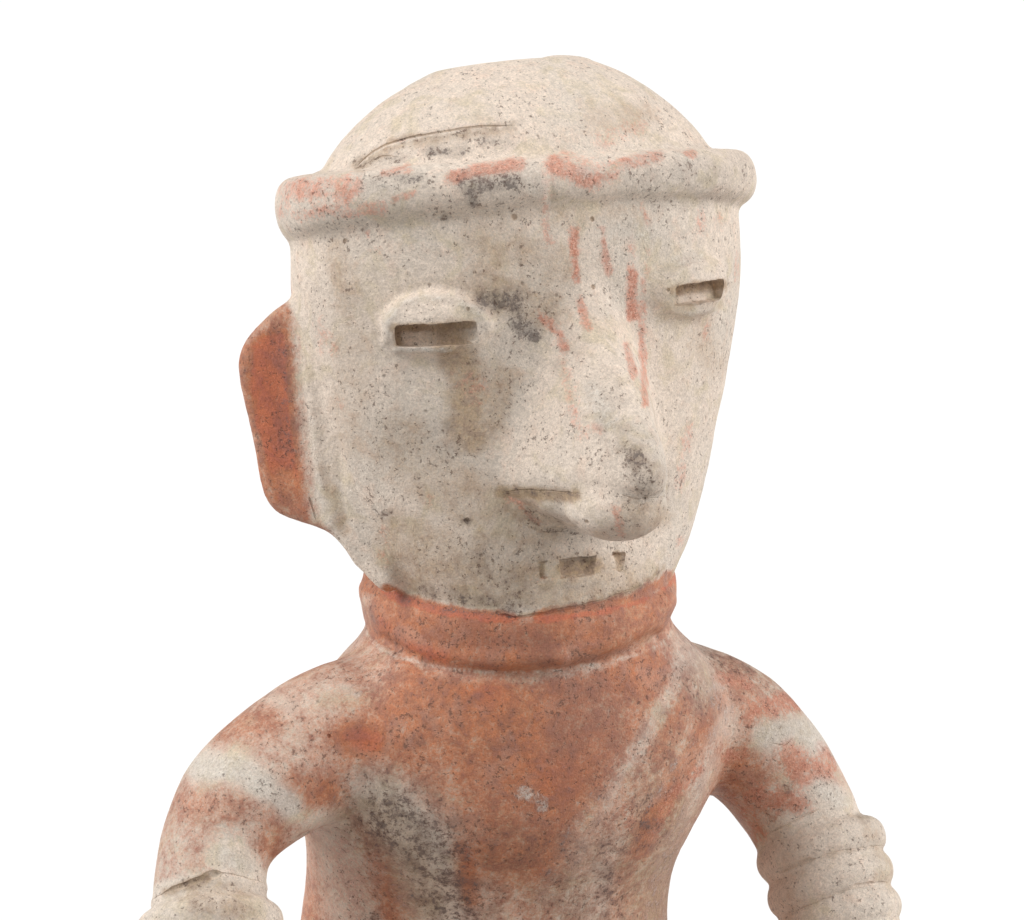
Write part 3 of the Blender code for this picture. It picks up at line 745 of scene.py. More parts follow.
# Low relief in the photograph: a line in its pixels, half width in pixels, height in design millimetres.
RELIEF = [
    ([(387, 340), (389, 319), (403, 303), (428, 296), (456, 299), (478, 311), (489, 328)], 5, 0.55),
    ([(379, 336), (381, 312), (398, 294), (428, 286), (461, 289), (487, 303), (500, 320)], 5, -0.35),
    ([(396, 349), (420, 351), (456, 349)], 3.5, 0.45),
    ([(394, 357), (420, 359), (456, 357)], 4, -0.25),
    ([(666, 286), (681, 270), (704, 264), (724, 268)], 4.5, 0.45),
    ([(672, 311), (690, 314), (714, 309)], 4, 0.35),
    ([(362, 588), (374, 608), (392, 632), (424, 650), (462, 659), (500, 661), (560, 657)], 9, 1.0),
    ([(560, 657), (610, 644), (650, 622), (668, 602)], 9, 1.0),
    ([(384, 640), (420, 663), (462, 673), (500, 676), (560, 671), (612, 658), (655, 636)], 7, -0.8),
    ([(300, 318), (309, 360), (316, 430), (322, 490), (330, 522)], 7, 0.55),
    ([(338, 440), (341, 490), (346, 530)], 6, -0.4),
    ([(272, 340), (280, 400), (288, 470)], 14, -0.5),
    ([(553, 160), (552, 200)], 4, -0.5),
    ([(538, 166), (540, 196)], 9, 0.4),
    ([(507, 496), (530, 508), (572, 532)], 4, -0.6),
    ([(545, 506), (572, 518)], 7, 0.6),
    ([(545, 582), (600, 580)], 6, 0.4),
    ([(338, 782), (346, 800), (352, 822)], 7, -0.6),
    ([(150, 905), (168, 893), (203, 881), (226, 877), (250, 882), (268, 889)], 5, 0.4),
]

# How uneven a crack is: size of its bends in design millimetres, how far it sways and how much it swells.
CRACK_UNEVEN = 2.2
CRACK_SWAY = 0.35
CRACK_SWELL = 0.5
CRACK_TIP = 0.25  # radius of its ends, as a share of the middle's
CRACK_TAPER = 6.0  # how fast it grows from its ends
# Cuts in the clay, in pixels of the photograph, and their half width in design millimetres.
CRACKS = [
    ([(357, 166), (374, 151), (400, 140), (440, 132), (476, 127), (512, 125)], 0.42),
    ([(372, 160), (384, 156), (398, 157)], 0.28),
    ([(502, 492), (520, 490), (545, 491), (583, 494)], 0.3),
    ([(524, 524), (540, 531), (566, 531)], 0.25),
    ([(622, 495), (640, 499), (668, 496)], 0.32),
    ([(497, 614), (520, 617), (560, 610), (602, 600), (640, 586)], 0.45),
    ([(164, 893), (184, 885), (203, 878), (226, 873)], 1.05),
    ([(224, 873), (246, 878), (268, 884)], 0.3),
    ([(140, 905), (153, 899), (168, 891)], 0.3),
    ([(776, 873), (796, 864), (816, 858)], 0.9),
    ([(816, 858), (836, 852), (862, 848), (884, 845)], 0.3),
    ([(795, 911), (814, 903), (835, 895)], 0.35),
    ([(835, 895), (856, 886), (887, 882)], 0.6),
    ([(771, 832), (791, 822), (819, 809)], 0.3),
    ([(309, 497), (313, 508), (316, 520)], 0.4),
    ([(768, 742), (782, 745), (793, 738)], 0.3),
]
PITS = [((645, 498), 0.8), ((587, 522), 0.8), ((467, 520), 0.7), ((593, 287), 0.7), ((345, 241), 0.7),
        ((514, 217), 0.9), ((592, 219), 0.7), ((668, 290), 0.6), ((468, 309), 0.6), ((329, 736), 0.6)]

# Depths along a slot: share of its half length from its middle, depth at its upper and at its lower edge in
# millimetres. Where the depth is below nothing, the clay stands in the slot.
RIGHT_SLIT = [(-1.0, 4.2, 1.8), (0.0, 2.8, 0.4), (0.5, 1.4, -0.8), (0.8, -0.4, -1.8), (1.0, -2.2, -3.0)]
LEFT_SLIT = [(-1.0, 4.2, 1.6), (0.0, 2.8, 0.4), (1.0, 1.6, -0.8)]
MOUTH_SLOT = [
    (-1.0, 1.2, 0.5),
    (-0.92, 1.8, 1.0),
    (-0.84, 0.2, -0.3),
    (-0.58, 0.1, 0.6),
    (-0.48, 3.8, 2.8),
    (0.14, 3.8, 2.3),
    (0.28, 1.1, 0.2),
    (0.66, 0.8, 0.1),
    (0.75, 3.4, 1.8),
    (0.92, 3.2, 0.8),
    (1.0, 1.8, 0.2),
]
# For each slot its height, how far it is lifted, how steeply it rises to the right and how uneven it is.
RIGHT_SLIT_LIE = (6.2, 0.2, math.radians(4.0), 0.3)
LEFT_SLIT_LIE = (5.8, 1.1, 0.0, 0.3)
MOUTH_LIE = (5.2, 0.9, math.radians(1.0), 0.4)
MOUTH_BOW = 1.95  # how far the face curves back from its middle to its ends
SLOT_CORNERS = 9.0  # 2 is round; more is squarer
SLOT_CUTS = 19
SLOT_UNEVEN = (2.4, 0.9)  # sizes of the coarse and the fine unevenness of its walls
SLOT_FINE_SHARE = 0.5
SLOT_SEED = 1  # of that unevenness, which differs at every run without one


def arrays(mesh):
    """The mesh's points and vertex normals."""
    made = []
    for source, name in ((mesh.vertices, "co"), (mesh.vertex_normals, "vector")):
        values = np.empty(len(mesh.vertices) * 3, np.float32)
        source.foreach_get(name, values)
        made.append(values.reshape(-1, 3).astype(float))
    return made


def wobble(points, size, seed):
    """Smooth noise between -1 and 1 in the clay, with lumps of about that size in design millimetres."""
    shift = Vector((seed, 3.7 * seed, 7.3 * seed))
    return np.array([noise.noise(Vector(point) + shift) for point in points / (size * MM)])


def undulate(obj):
    points, normals = arrays(obj.data)
    lift = sum(height * wobble(points, size, k) for k, (size, height) in enumerate(LUMPS))
    moved = points + normals * (lift * MM)[:, None]
    obj.data.vertices.foreach_set("co", moved.astype(np.float32).ravel())
    obj.data.update()


def fit_to_frame(obj):
    """Moves the mesh into the solid's box, scaled by the little that the lumps changed. Returns the shift."""
    points, _ = arrays(obj.data)
    low, high = Vector(points.min(axis=0)), Vector(points.max(axis=0))
    low.z = 0.0
    share = Vector([(b - a) / (d - c) for a, b, c, d in zip(BOX_LOW, BOX_HIGH, low, high)])
    shift = Vector([a - c * s for a, c, s in zip(BOX_LOW, low, share)])
    obj.data.transform(Matrix.Translation(shift) @ Matrix.Diagonal((*share, 1.0)))
    return shift


def smoothly(low, high, values):
    share = np.clip((values - low) / (high - low), 0, 1)
    return share * share * (3 - 2 * share)


def facing(points, normals, neck):
    towards = np.array(camera_place(neck)) - points
    return (normals * towards).sum(axis=1) / np.linalg.norm(towards, axis=1)


def line_distance(pixels, line):
    """Distance from each pixel to a line through a few points."""
    nearest = np.full(len(pixels), np.inf)
    for start, end in zip(np.array(line[:-1], float), np.array(line[1:], float)):
        along = end - start
        share = np.clip((pixels - start) @ along / (along @ along), 0, 1)
        away = pixels - start - share[:, None] * along
        nearest = np.minimum(nearest, np.linalg.norm(away, axis=1))
    return nearest


def marks(pixels, lines):
    """How strongly the marks cover each pixel: full in their middle, half at their half width."""
    cover = np.zeros(len(pixels))
    for line, half_width, strength in lines:
        share = np.clip(MARK_REACH - line_distance(pixels, line) / half_width, 0, 1)
        cover = np.maximum(cover, strength * share)
    return cover


def seen_share(points, normals, tree, neck):
    """How far each point shows in the photograph: 0 behind and at the edges, 1 where it faces the camera."""
    share = smoothly(0.0, SEEN_EDGE, facing(points, normals, neck))
    lens = camera_place(neck)
    for k in np.flatnonzero(share):
        start = Vector(points[k] + normals[k] * OFF_SKIN * MM)
        if tree.ray_cast(start, (lens - start).normalized())[0]:
            share[k] = 0.0
    return share


def carve(obj, tree, neck):
    """Raises and lowers the skin along the relief's lines."""
    points, normals = arrays(obj.data)
    pixels = to_photo(points, neck)
    lift = np.zeros(len(points))
    for line, half_width, height in RELIEF:
        lift += height * (1 - smoothly(0.0, RELIEF_REACH * half_width, line_distance(pixels, line)))
    raised = np.abs(lift) > RELIEF_LEAST
    lift[raised] *= seen_share(points[raised], normals[raised], tree, neck)
    moved = points + normals * (lift * MM)[:, None]
    obj.data.vertices.foreach_set("co", moved.astype(np.float32).ravel())
    obj.data.update()


def collapse(obj, ratio, group=""):
    """Fewer triangles: that share of them, all taken from the group if one is named."""
    thin = obj.modifiers.new("thin", "DECIMATE")
    thin.use_collapse_triangulate = True
    thin.vertex_group = group
    thin.ratio = min(1.0, ratio)
    apply_modifiers(obj)


def thin_out(obj, neck):
    """Larger faces, above all where the photograph doesn't look."""
    points, normals = arrays(obj.data)
    hidden = (facing(points, normals, neck) < 0.0) | (points[:, 2] < SEEN_ABOVE * MM)
    group = obj.vertex_groups.new(name="hidden")
    group.add([int(k) for k in np.flatnonzero(hidden)], 1.0, "REPLACE")
    collapse(obj, 1 - hidden.mean() * (1 - HIDDEN_KEPT), "hidden")
    obj.vertex_groups.clear()
    collapse(obj, TRIANGLES / sum(len(face.vertices) - 2 for face in obj.data.polygons))


def surface_tree(obj):
    mesh = obj.data
    return BVHTree.FromPolygons([v.co for v in mesh.vertices], [tuple(p.vertices) for p in mesh.polygons])


def make_crack(pixels, radius, tree, neck):
    """A tube along the surface, uneven and thin at its ends, that cuts a groove."""
    points, radii = [], []
    hits = [on_surface(pixel, tree, neck) for pixel in catmull(pixels, CRACK_STEPS)]
    path = [(point, normal) for point, normal in hits if point]
    for k, (point, normal) in enumerate(path):
        uneven = noise.noise(point / (CRACK_UNEVEN * MM))
        sideways = normal.cross(UP).normalized().cross(normal)
        points.append(point + sideways * (CRACK_SWAY * uneven * MM))
        taper = min(1.0, CRACK_TIP + CRACK_TAPER * min(k, len(path) - 1 - k) / len(path))
        radii.append(radius * taper * (1.0 + CRACK_SWELL * uneven))
    return tube("crack", points, radii, CRACK_SEGMENTS)


def make_pit(pixel, radius, tree, neck):
    point, _ = on_surface(pixel, tree, neck)
    return ellipsoid("pit", point, (SIDE, FORE, -UP), (radius, radius, radius))


def slot_depth(stops, across, upward):
    """Depth of a slot at a place in it, both from -1 to 1."""
    shares, upper, lower = zip(*stops)
    low = np.interp(across, shares, lower)
    return float(low + (np.interp(across, shares, upper) - low) * (0.5 + 0.5 * upward))


def make_slot(point, axes, length, stops, lie, bow=0.0):
    """A hollow, open in front, with uneven walls and an uneven floor."""
    height, lift, rise, rough = lie
    along, up, normal = axes
    turn = Matrix.Rotation(rise, 3, normal)
    bm = bmesh.new()
    bmesh.ops.create_cube(bm, size=2.0)
    bmesh.ops.subdivide_edges(bm, edges=bm.edges, cuts=SLOT_CUTS, use_grid_fill=True)
    for vertex in bm.verts:
        across, upward, out = vertex.co
        depth = slot_depth(stops, across, upward) + bow * across**2
        reach = (abs(across) ** SLOT_CORNERS + abs(upward) ** SLOT_CORNERS) ** (1 / SLOT_CORNERS)
        share = max(abs(across), abs(upward)) / max(reach, 0.001)
        level = (2 * EYE_HOOD[2] + depth) * (0.5 + 0.5 * out) - depth
        vertex.co = (0.5 * length * across * share, 0.5 * height * upward * share, level)
    bm.transform(to_world(point + up * (lift * MM), (turn @ along, turn @ up, normal), (1.0, 1.0, 1.0)))
    for vertex in bm.verts:
        coarse, fine = (noise.noise_vector(vertex.co / (size * MM)) for size in SLOT_UNEVEN)
        vertex.co += (coarse + fine * SLOT_FINE_SHARE) * (rough * MM)
    return from_bmesh("slot", bm)


def make_slots():
    """The slits of both eyes and the mouth."""
    noise.seed_set(SLOT_SEED)
    slots = []
    shapes = ((RIGHT_SLIT, RIGHT_SLIT_LIE), (LEFT_SLIT, LEFT_SLIT_LIE))
    for (point, length, axes), (stops, lie) in zip(eye_frames(), shapes):
        slots.append(make_slot(point, axes, length, stops, lie))
    point, normal = head_surface(MOUTH_SIDE, MOUTH_Z)
    axes = (UP.cross(normal).normalized(), UP, normal)
    slots.append(make_slot(point, axes, MOUTH_LENGTH, MOUTH_SLOT, MOUTH_LIE, MOUTH_BOW))
    return slots


def cut(obj, cutters):
    for cutter in cutters:
        boolean = obj.modifiers.new("cut", "BOOLEAN")
        boolean.operation = "DIFFERENCE"
        boolean.solver = "MANIFOLD"
        boolean.object = cutter
    apply_modifiers(obj)
    for cutter in cutters:
        bpy.data.objects.remove(cutter)


def make_figure():
    """The whole figure as one fine skin in the solid's place, and the neck's place on the ground."""
    pieces = [make_body(), make_head(), make_collar()]
    pieces += make_coils(-1, RIGHT_ARM, *RIGHT_COILS) + make_coils(1, LEFT_ARM, *LEFT_COILS)
    for side in (-1, 1):
        pieces += make_foot(side) + make_hand(side)
    figure = fuse("figure_skin", pieces, JOINT_BLEND)
    undulate(figure)
    for slot in make_slots():
        cut(figure, [slot])
    cut(figure, [block("ground", place(0, 0, -DESIGN_HEIGHT), (SIDE, -FORE, UP), (2 * DESIGN_HEIGHT,) * 3)])
    neck = fit_to_frame(figure)
    tree = surface_tree(figure)
    carve(figure, tree, neck)
    tree = surface_tree(figure)
    cracks = [make_crack(pixels, radius, tree, neck) for pixels, radius in CRACKS]
    pits = [make_pit(pixel, radius, tree, neck) for pixel, radius in PITS]
    cut(figure, cracks + pits)
    thin_out(figure, neck)
    neck = neck + fit_to_frame(figure)
    figure.data.shade_smooth()
    figure.data.set_sharp_from_angle(angle=SHARP_ANGLE)
    return figure, neck


# Paint, stains, painted shade and painted highlights. Each mark is a line in the photograph's pixels, its
# half width in pixels and its strength.
MARK_REACH = 1.5  # of its half width, where a mark ends
# Rose is worn red on bare clay, on the brim, the forehead, the nose and the cheeks.
ROSE = [
    ([(286, 186), (284, 212)], 9, 0.6),
    ([(296, 190), (352, 186)], 14, 0.72),
    ([(345, 188), (346, 198)], 7, 0.9),
    ([(300, 214), (380, 208)], 9, 0.62),
    ([(384, 174), (408, 168)], 6, 0.7),
    ([(392, 199), (414, 194)], 5, 0.75),
    ([(452, 178), (470, 172), (492, 168), (519, 164)], 8, 0.9),
    ([(470, 176), (512, 170)], 12, 0.5),
    ([(556, 164), (575, 174), (592, 180)], 12, 0.9),
    ([(566, 160), (610, 172)], 14, 0.55),
    ([(583, 183), (612, 176)], 7, 0.8),
    ([(612, 167), (640, 160), (660, 157)], 8, 0.7),
    ([(688, 154), (694, 154)], 6, 0.7),
    ([(600, 140), (640, 128)], 13, 0.45),
    ([(546, 165), (548, 200)], 8, 0.5),
    ([(547, 206), (546, 226), (549, 246)], 5, 0.72),
    ([(574, 230), (574, 258), (577, 280)], 5, 1.0),
    ([(602, 230), (605, 256), (610, 274)], 5, 0.85),
    ([(632, 274), (631, 294), (632, 316)], 6, 1.1),
    ([(632, 230), (631, 270)], 6, 0.45),
    ([(648, 250), (642, 300)], 4, 0.5),
    ([(642, 300), (643, 352), (645, 404)], 5, 0.8),
    ([(626, 346), (630, 360), (634, 376)], 5, 0.75),
    ([(580, 298), (583, 312), (587, 328)], 6, 0.8),
    ([(541, 315), (551, 325), (561, 338), (565, 350)], 5, 0.85),
    ([(556, 340), (560, 366)], 9, 0.4),
    ([(567, 376), (569, 392)], 9, 0.55),
    ([(573, 398), (574, 420), (583, 438)], 8, 0.6),
    ([(593, 429), (600, 430)], 8, 0.5),
    ([(641, 203), (648, 226)], 4, 0.55),
    ([(701, 212), (703, 236)], 5, 0.58),
    ([(718, 216), (720, 231)], 5, 0.52),
    ([(738, 250), (736, 284)], 4, 0.5),
    ([(690, 424), (684, 455), (679, 492)], 5, 0.5),
    ([(688, 438), (687, 444)], 6, 0.6),
    ([(680, 480), (680, 486)], 6, 0.6),
    ([(681, 538), (679, 544)], 5, 0.5),
    ([(708, 328), (704, 338)], 5, 0.55),
    ([(468, 388), (486, 384)], 6, 0.65),
    ([(460, 372), (476, 400)], 12, 0.42),
    ([(430, 498), (428, 503)], 6, 0.5),
    ([(383, 530), (388, 546)], 5, 0.55),
    ([(382, 556), (385, 562)], 5, 0.5),
    ([(340, 400), (346, 412)], 6, 0.45),
    ([(367, 232), (368, 236)], 4, 0.7),
    ([(370, 250), (378, 251)], 6, 0.5),
    ([(318, 320), (324, 350)], 8, 0.5),
    ([(330, 330), (334, 360)], 6, 0.42),
    ([(504, 496), (524, 509), (538, 521)], 5, 0.6),
    ([(617, 506), (621, 532)], 6, 0.6),
    ([(556, 579), (532, 580)], 4, 0.45),
    ([(756, 708), (792, 702)], 13, 0.85),
    ([(744, 722), (770, 709)], 8, 0.65),
    ([(720, 678), (746, 684)], 9, 0.7),
    ([(790, 752), (804, 776), (820, 770)], 16, 0.85),
    ([(822, 746), (832, 768)], 8, 0.8),
    ([(756, 797), (800, 802)], 15, 0.8),
    ([(748, 812), (760, 836)], 11, 0.65),
    ([(726, 757), (744, 755)], 8, 0.7),
    ([(700, 768), (666, 802)], 6, 0.75),
    ([(668, 800), (653, 838)], 7, 0.75),
    ([(628, 808), (630, 828)], 9, 0.65),
    ([(464, 868), (470, 888)], 8, 0.55),
    ([(345, 846), (352, 900)], 16, 0.5),
]
# Dark is soot and manganese stain, always broken up into specks; two of its marks are painted shade, in the
# crease under the nose wing and in the near armpit's crease.
DARK = [
    ([(484, 300), (518, 302)], 11, 1.1),
    ([(278, 345), (284, 400), (292, 450)], 11, 0.55),
    ([(372, 622), (396, 650)], 14, 0.4),
    ([(170, 908), (262, 900)], 16, 0.35),
    ([(514, 322), (536, 336)], 9, 1.15),
    ([(470, 300), (560, 350)], 22, 0.35),
    ([(537, 340), (552, 343)], 5, 0.6),
    ([(434, 430), (448, 426)], 7, 0.6),
    ([(438, 450), (452, 454)], 9, 0.5),
    ([(383, 513), (387, 514)], 6, 0.7),
    ([(462, 518), (470, 522)], 3, 0.9),
    ([(630, 450), (646, 478)], 14, 0.8),
    ([(616, 430), (664, 488)], 20, 0.45),
    ([(612, 380), (624, 440)], 9, 0.4),
    # Painted shade in the crease under the nose wing, broken into specks.
    ([(503, 490), (583, 494)], 4, 0.7),
    ([(530, 512), (536, 524)], 5, 0.7),
    ([(548, 517), (560, 520)], 4, 0.6),
    ([(546, 530), (572, 532)], 4, 0.8),
    ([(420, 590), (470, 600), (520, 608)], 8, 0.7),
    ([(566, 564), (590, 562)], 5, 0.6),
    ([(404, 600), (440, 609), (512, 617)], 3, 0.85),
    ([(480, 560), (520, 592)], 16, 0.42),
    ([(560, 610), (600, 601), (640, 587), (662, 572)], 3, 0.6),
    ([(560, 690), (600, 760), (560, 830)], 50, 0.25),
    ([(690, 640), (660, 740), (610, 840)], 30, 0.3),
    ([(468, 184), (514, 182)], 10, 1.0),
    ([(470, 194), (473, 204)], 5, 1.0),
    ([(398, 180), (420, 179)], 6, 0.9),
    ([(365, 182), (384, 184)], 8, 0.5),
    ([(444, 216), (446, 218)], 4, 0.9),
    ([(432, 151), (462, 151)], 6, 0.95),
    ([(480, 141), (508, 142)], 4, 0.75),
    ([(358, 163), (400, 158)], 5, 0.7),
    ([(400, 141), (512, 126)], 3, 0.55),
    ([(640, 172), (740, 170)], 16, 0.5),
    ([(655, 205), (730, 200)], 8, 0.45),
    ([(386, 345), (386, 325)], 4, 0.4),
    ([(386, 806), (412, 822)], 14, 0.8),
    ([(396, 828), (420, 840)], 14, 0.65),
    ([(444, 832), (460, 858)], 13, 0.85),
    ([(420, 858), (442, 880)], 15, 0.8),
    ([(460, 862), (472, 892)], 8, 0.75),
    ([(436, 896), (450, 918)], 16, 0.6),
    ([(388, 812), (430, 850), (452, 905)], 40, 0.85),
    ([(168, 891), (206, 878)], 4, 0.7),
    # Painted shade in the crease between the near arm and the chest, broken into specks.
    ([(330, 786), (344, 800)], 5, 0.5),
    ([(366, 918), (374, 920)], 6, 0.8),
    ([(634, 808), (654, 826)], 14, 0.7),
    ([(608, 848), (634, 840)], 16, 0.7),
    ([(604, 870), (614, 914)], 16, 0.7),
    ([(556, 884), (574, 902)], 18, 0.6),
    ([(640, 800), (600, 900)], 34, 0.38),
    ([(500, 850), (570, 850)], 22, 0.5),
    ([(686, 670), (706, 704)], 14, 0.5),
    ([(700, 642), (740, 668)], 14, 0.6),
    ([(420, 700), (500, 720)], 40, 0.3),
    ([(404, 730), (420, 742)], 7, 0.55),
    ([(400, 700), (430, 704)], 12, 0.42),
    ([(786, 786), (788, 789)], 5, 0.8),
    ([(340, 802), (352, 800)], 6, 0.6),
    ([(860, 815), (866, 818)], 5, 0.5),
]
# Soil and shade is tan and brown in hollows and worn places; some of its marks are painted shade: in the eye
# slits, in the crease under the nose wing, under the brim, on the chin and under the jaw, in the near armpit,
# and on the far shoulder and down the body's shaded right side.
SOIL_AND_SHADE = [
    ([(448, 336), (466, 380), (470, 436)], 20, 0.9),
    ([(500, 380), (488, 420)], 20, 0.6),
    ([(486, 286), (545, 310)], 24, 0.6),
    ([(480, 240), (560, 270)], 24, 0.5),
    # Painted shade under the brim.
    ([(560, 220), (640, 218)], 12, 0.35),
    # Painted shade in the crease under the nose wing.
    ([(500, 492), (574, 496)], 7, 1.0),
    ([(512, 504), (552, 530)], 14, 0.7),
    ([(628, 512), (660, 516)], 14, 0.6),
    ([(196, 898), (240, 902)], 18, 0.55),
    ([(600, 532), (650, 532)], 9, 0.4),
    ([(564, 568), (594, 566)], 9, 1.1),
    ([(617, 555), (621, 568)], 5, 1.0),
    ([(540, 560), (541, 572)], 4, 0.9),
    ([(538, 564), (620, 562)], 11, 0.55),
    ([(520, 616), (560, 610), (600, 600), (640, 586), (664, 568)], 3, 0.9),
    # Painted shadow inside the eye slits: under their top edges and at the deeper end of the near one.
    ([(394, 328), (432, 327), (470, 324)], 5, 1.0),
    ([(396, 330), (398, 345)], 4, 0.9),
    ([(430, 332), (462, 330)], 8, 0.5),
    ([(676, 290), (724, 284)], 6, 0.9),
    ([(678, 306), (716, 304)], 6, 0.4),
    ([(700, 330), (712, 360)], 18, 0.45),
    # Partly brown soil, partly painted shade on the chin and under the jaw, which face down.
    ([(380, 560), (430, 594), (500, 606)], 10, 0.55),
    ([(400, 540), (470, 575), (560, 592), (620, 582)], 30, 0.62),
    ([(400, 440), (440, 480), (470, 500)], 34, 0.5),
    ([(480, 540), (540, 548)], 16, 0.5),
    ([(336, 250), (350, 300)], 16, 0.45),
    ([(357, 166), (400, 142), (512, 127)], 7, 0.6),
    ([(630, 448), (650, 480)], 18, 0.45),
    ([(596, 118), (640, 118)], 18, 0.45),
    # Painted shade under the brim.
    ([(440, 216), (640, 210)], 8, 0.4),
    ([(324, 470), (344, 530)], 8, 0.45),
    ([(350, 340), (352, 440)], 22, 0.35),
    # Partly soil, partly painted shade on the far shoulder and down the body's right side, which face away
    # from the light.
    ([(700, 690), (676, 740), (650, 800)], 26, 0.6),
    ([(660, 800), (640, 910)], 34, 0.75),
    ([(716, 670), (760, 690), (790, 730)], 24, 0.5),
    ([(740, 760), (770, 830)], 20, 0.5),
    ([(790, 850), (800, 915)], 20, 0.3),
    ([(380, 820), (420, 900)], 36, 0.65),
    ([(500, 840), (560, 900)], 44, 0.6),
    # Painted shade in the crease between the near arm and the chest.
    ([(330, 790), (352, 830)], 12, 0.6),
    ([(420, 690), (400, 760)], 30, 0.3),
    ([(870, 820), (890, 880)], 14, 0.4),
    ([(460, 655), (560, 652)], 12, 0.35),
    ([(166, 892), (206, 879)], 6, 0.8),
]
# Pale is lime that dried on the clay: bands on the chest and arm, and chips; some of its marks are painted
# highlights: on the eyes' lids, on the nose's ridge, on the ridge at the near ear's root and along the groove
# under the collar.
PALE = [
    # Painted highlights on the near eye's lids and along the nose's ridge.
    ([(386, 336), (386, 318), (402, 304), (426, 296), (452, 299), (480, 313)], 5, 0.7),
    ([(396, 350), (450, 350)], 3, 0.8),
    ([(592, 390), (606, 420)], 13, 0.8),
    ([(606, 312), (618, 304)], 10, 0.6),
    ([(606, 226), (648, 234)], 14, 0.7),
    ([(600, 240), (610, 300)], 12, 0.4),
    # Painted highlights on the far eye's lids.
    ([(676, 262), (700, 256)], 8, 0.7),
    ([(686, 314), (714, 310)], 4, 0.6),
    ([(530, 172), (540, 188)], 13, 0.65),
    ([(578, 170), (586, 175), (590, 168)], 5, 0.8),
    ([(366, 186), (398, 190)], 11, 0.5),
    ([(560, 148), (700, 146)], 4, 0.5),
    ([(664, 494), (640, 500)], 3, 0.6),
    ([(541, 560), (548, 572)], 4, 0.6),
    ([(604, 558), (612, 570)], 5, 0.5),
    ([(556, 588), (604, 582)], 4, 0.5),
    ([(550, 506), (572, 514)], 8, 0.6),
    # Painted highlight on the ridge at the near ear's root.
    ([(310, 420), (320, 500)], 6, 0.5),
    # Painted highlight along the groove under the collar.
    ([(424, 664), (462, 674), (530, 676), (602, 661), (648, 641)], 4, 0.28),
    ([(684, 640), (676, 684), (643, 743), (612, 794)], 5, 0.4),
    ([(612, 794), (584, 837), (570, 880)], 9, 0.45),
    ([(730, 706), (722, 724), (679, 766), (646, 806)], 8, 0.5),
    ([(717, 763), (690, 806), (664, 858), (650, 916)], 10, 0.5),
    ([(592, 800), (560, 850), (540, 900)], 12, 0.4),
    ([(446, 800), (466, 840), (484, 884)], 7, 0.5),
    ([(520, 792), (534, 796)], 8, 0.85),
    ([(543, 803), (544, 810)], 5, 0.8),
    ([(200, 768), (236, 768), (266, 786), (290, 806)], 14, 0.95),
    ([(222, 852), (248, 868)], 10, 0.8),
    ([(276, 702), (292, 706)], 10, 0.6),
    ([(342, 686), (357, 694)], 5, 0.8),
    ([(340, 810), (352, 900)], 16, 0.45),
    ([(400, 860), (410, 915)], 16, 0.4),
    ([(764, 736), (800, 728), (818, 740)], 15, 0.85),
    ([(716, 690), (730, 730)], 14, 0.6),
    ([(820, 786), (840, 800)], 12, 0.85),
    ([(696, 650), (712, 690)], 12, 0.5),
]
# Where the red slip is thicker, and where it is worn away.
SLIP_THICK = [
    ([(222, 728), (268, 722)], 16, 0.3),
    ([(350, 736), (372, 742)], 16, 0.3),
    ([(290, 790), (326, 792)], 18, 0.35),
    ([(186, 806), (236, 806)], 16, 0.22),
    ([(276, 806), (268, 862)], 14, 0.3),
    ([(420, 700), (560, 770)], 60, 0.12),
    ([(560, 690), (640, 672)], 24, 0.15),
    ([(372, 622), (402, 650), (440, 660)], 12, 0.2),
    ([(540, 616), (600, 607), (640, 595), (670, 576)], 6, 1.0),
    ([(386, 588), (404, 598), (440, 608), (480, 614), (512, 617)], 5, 1.0),
    ([(718, 700), (690, 760), (655, 815), (640, 850)], 9, 0.4),
    ([(462, 850), (470, 900)], 9, 0.35),
    ([(500, 700), (560, 780)], 40, 0.14),
]
SLIP_WORN = [
    ([(384, 643), (424, 666), (462, 676), (530, 679), (602, 664), (652, 640)], 6, 0.28),
    ([(344, 652), (360, 634), (364, 606)], 12, 0.3),
    ([(338, 690), (370, 665)], 30, 0.32),
    ([(200, 766), (236, 766), (266, 784), (288, 806)], 16, 0.4),
    ([(226, 854), (262, 878)], 16, 0.45),
    ([(336, 830), (352, 915)], 26, 0.55),
    ([(376, 800), (420, 850), (440, 915)], 32, 0.6),
    ([(480, 905), (560, 918)], 30, 0.35),
    ([(284, 480), (300, 512)], 12, 0.25),
    ([(684, 636), (676, 684), (643, 743), (610, 796)], 9, 0.42),
    ([(690, 640), (724, 730)], 22, 0.42),
    ([(700, 750), (660, 850), (650, 915)], 28, 0.42),
    ([(640, 780), (596, 850), (580, 915)], 30, 0.35),
    ([(286, 270), (303, 312)], 12, 1.2),
    ([(130, 925), (156, 904), (186, 896), (216, 889), (268, 902)], 15, 1.0),
    ([(766, 738), (818, 732)], 18, 0.4),
    ([(810, 790), (844, 806)], 16, 0.4),
    ([(780, 838), (818, 820), (862, 812)], 13, 1.0),
    ([(300, 314), (306, 400), (313, 460), (320, 514)], 12, 0.85),
    ([(264, 326), (290, 318)], 9, 0.4),
    ([(246, 350), (243, 380), (250, 425), (263, 470), (274, 504), (300, 520)], 5, 0.35),
    ([(284, 306), (262, 322), (247, 340)], 6, 0.45),
]

# Where slip lies, in design millimetres: each pair is where a smooth step starts and ends.
EAR_SLIP_HEIGHTS = (225, 304)
EAR_SLIP_FADE = 6.0
COLLAR_SLIP_FROM = (-9.2, -8.0)  # over the collar's middle plane
COLLAR_SLIP_TO = (6.4, 7.4)
ARM_SIDES = (52.0, 72.0)
ARM_HEIGHTS = (112.0, 118.0)
LAP_HEIGHTS = (96.0, 116.0)
ARMLET_SIDES = (62.0, 68.0)
ARMLET_HEIGHTS = (144.5, 148.0)
ARMLET_SLOPE = 0.5  # how much higher it starts for each millimetre in front of its own place
ARMLET_FORE = 8.0
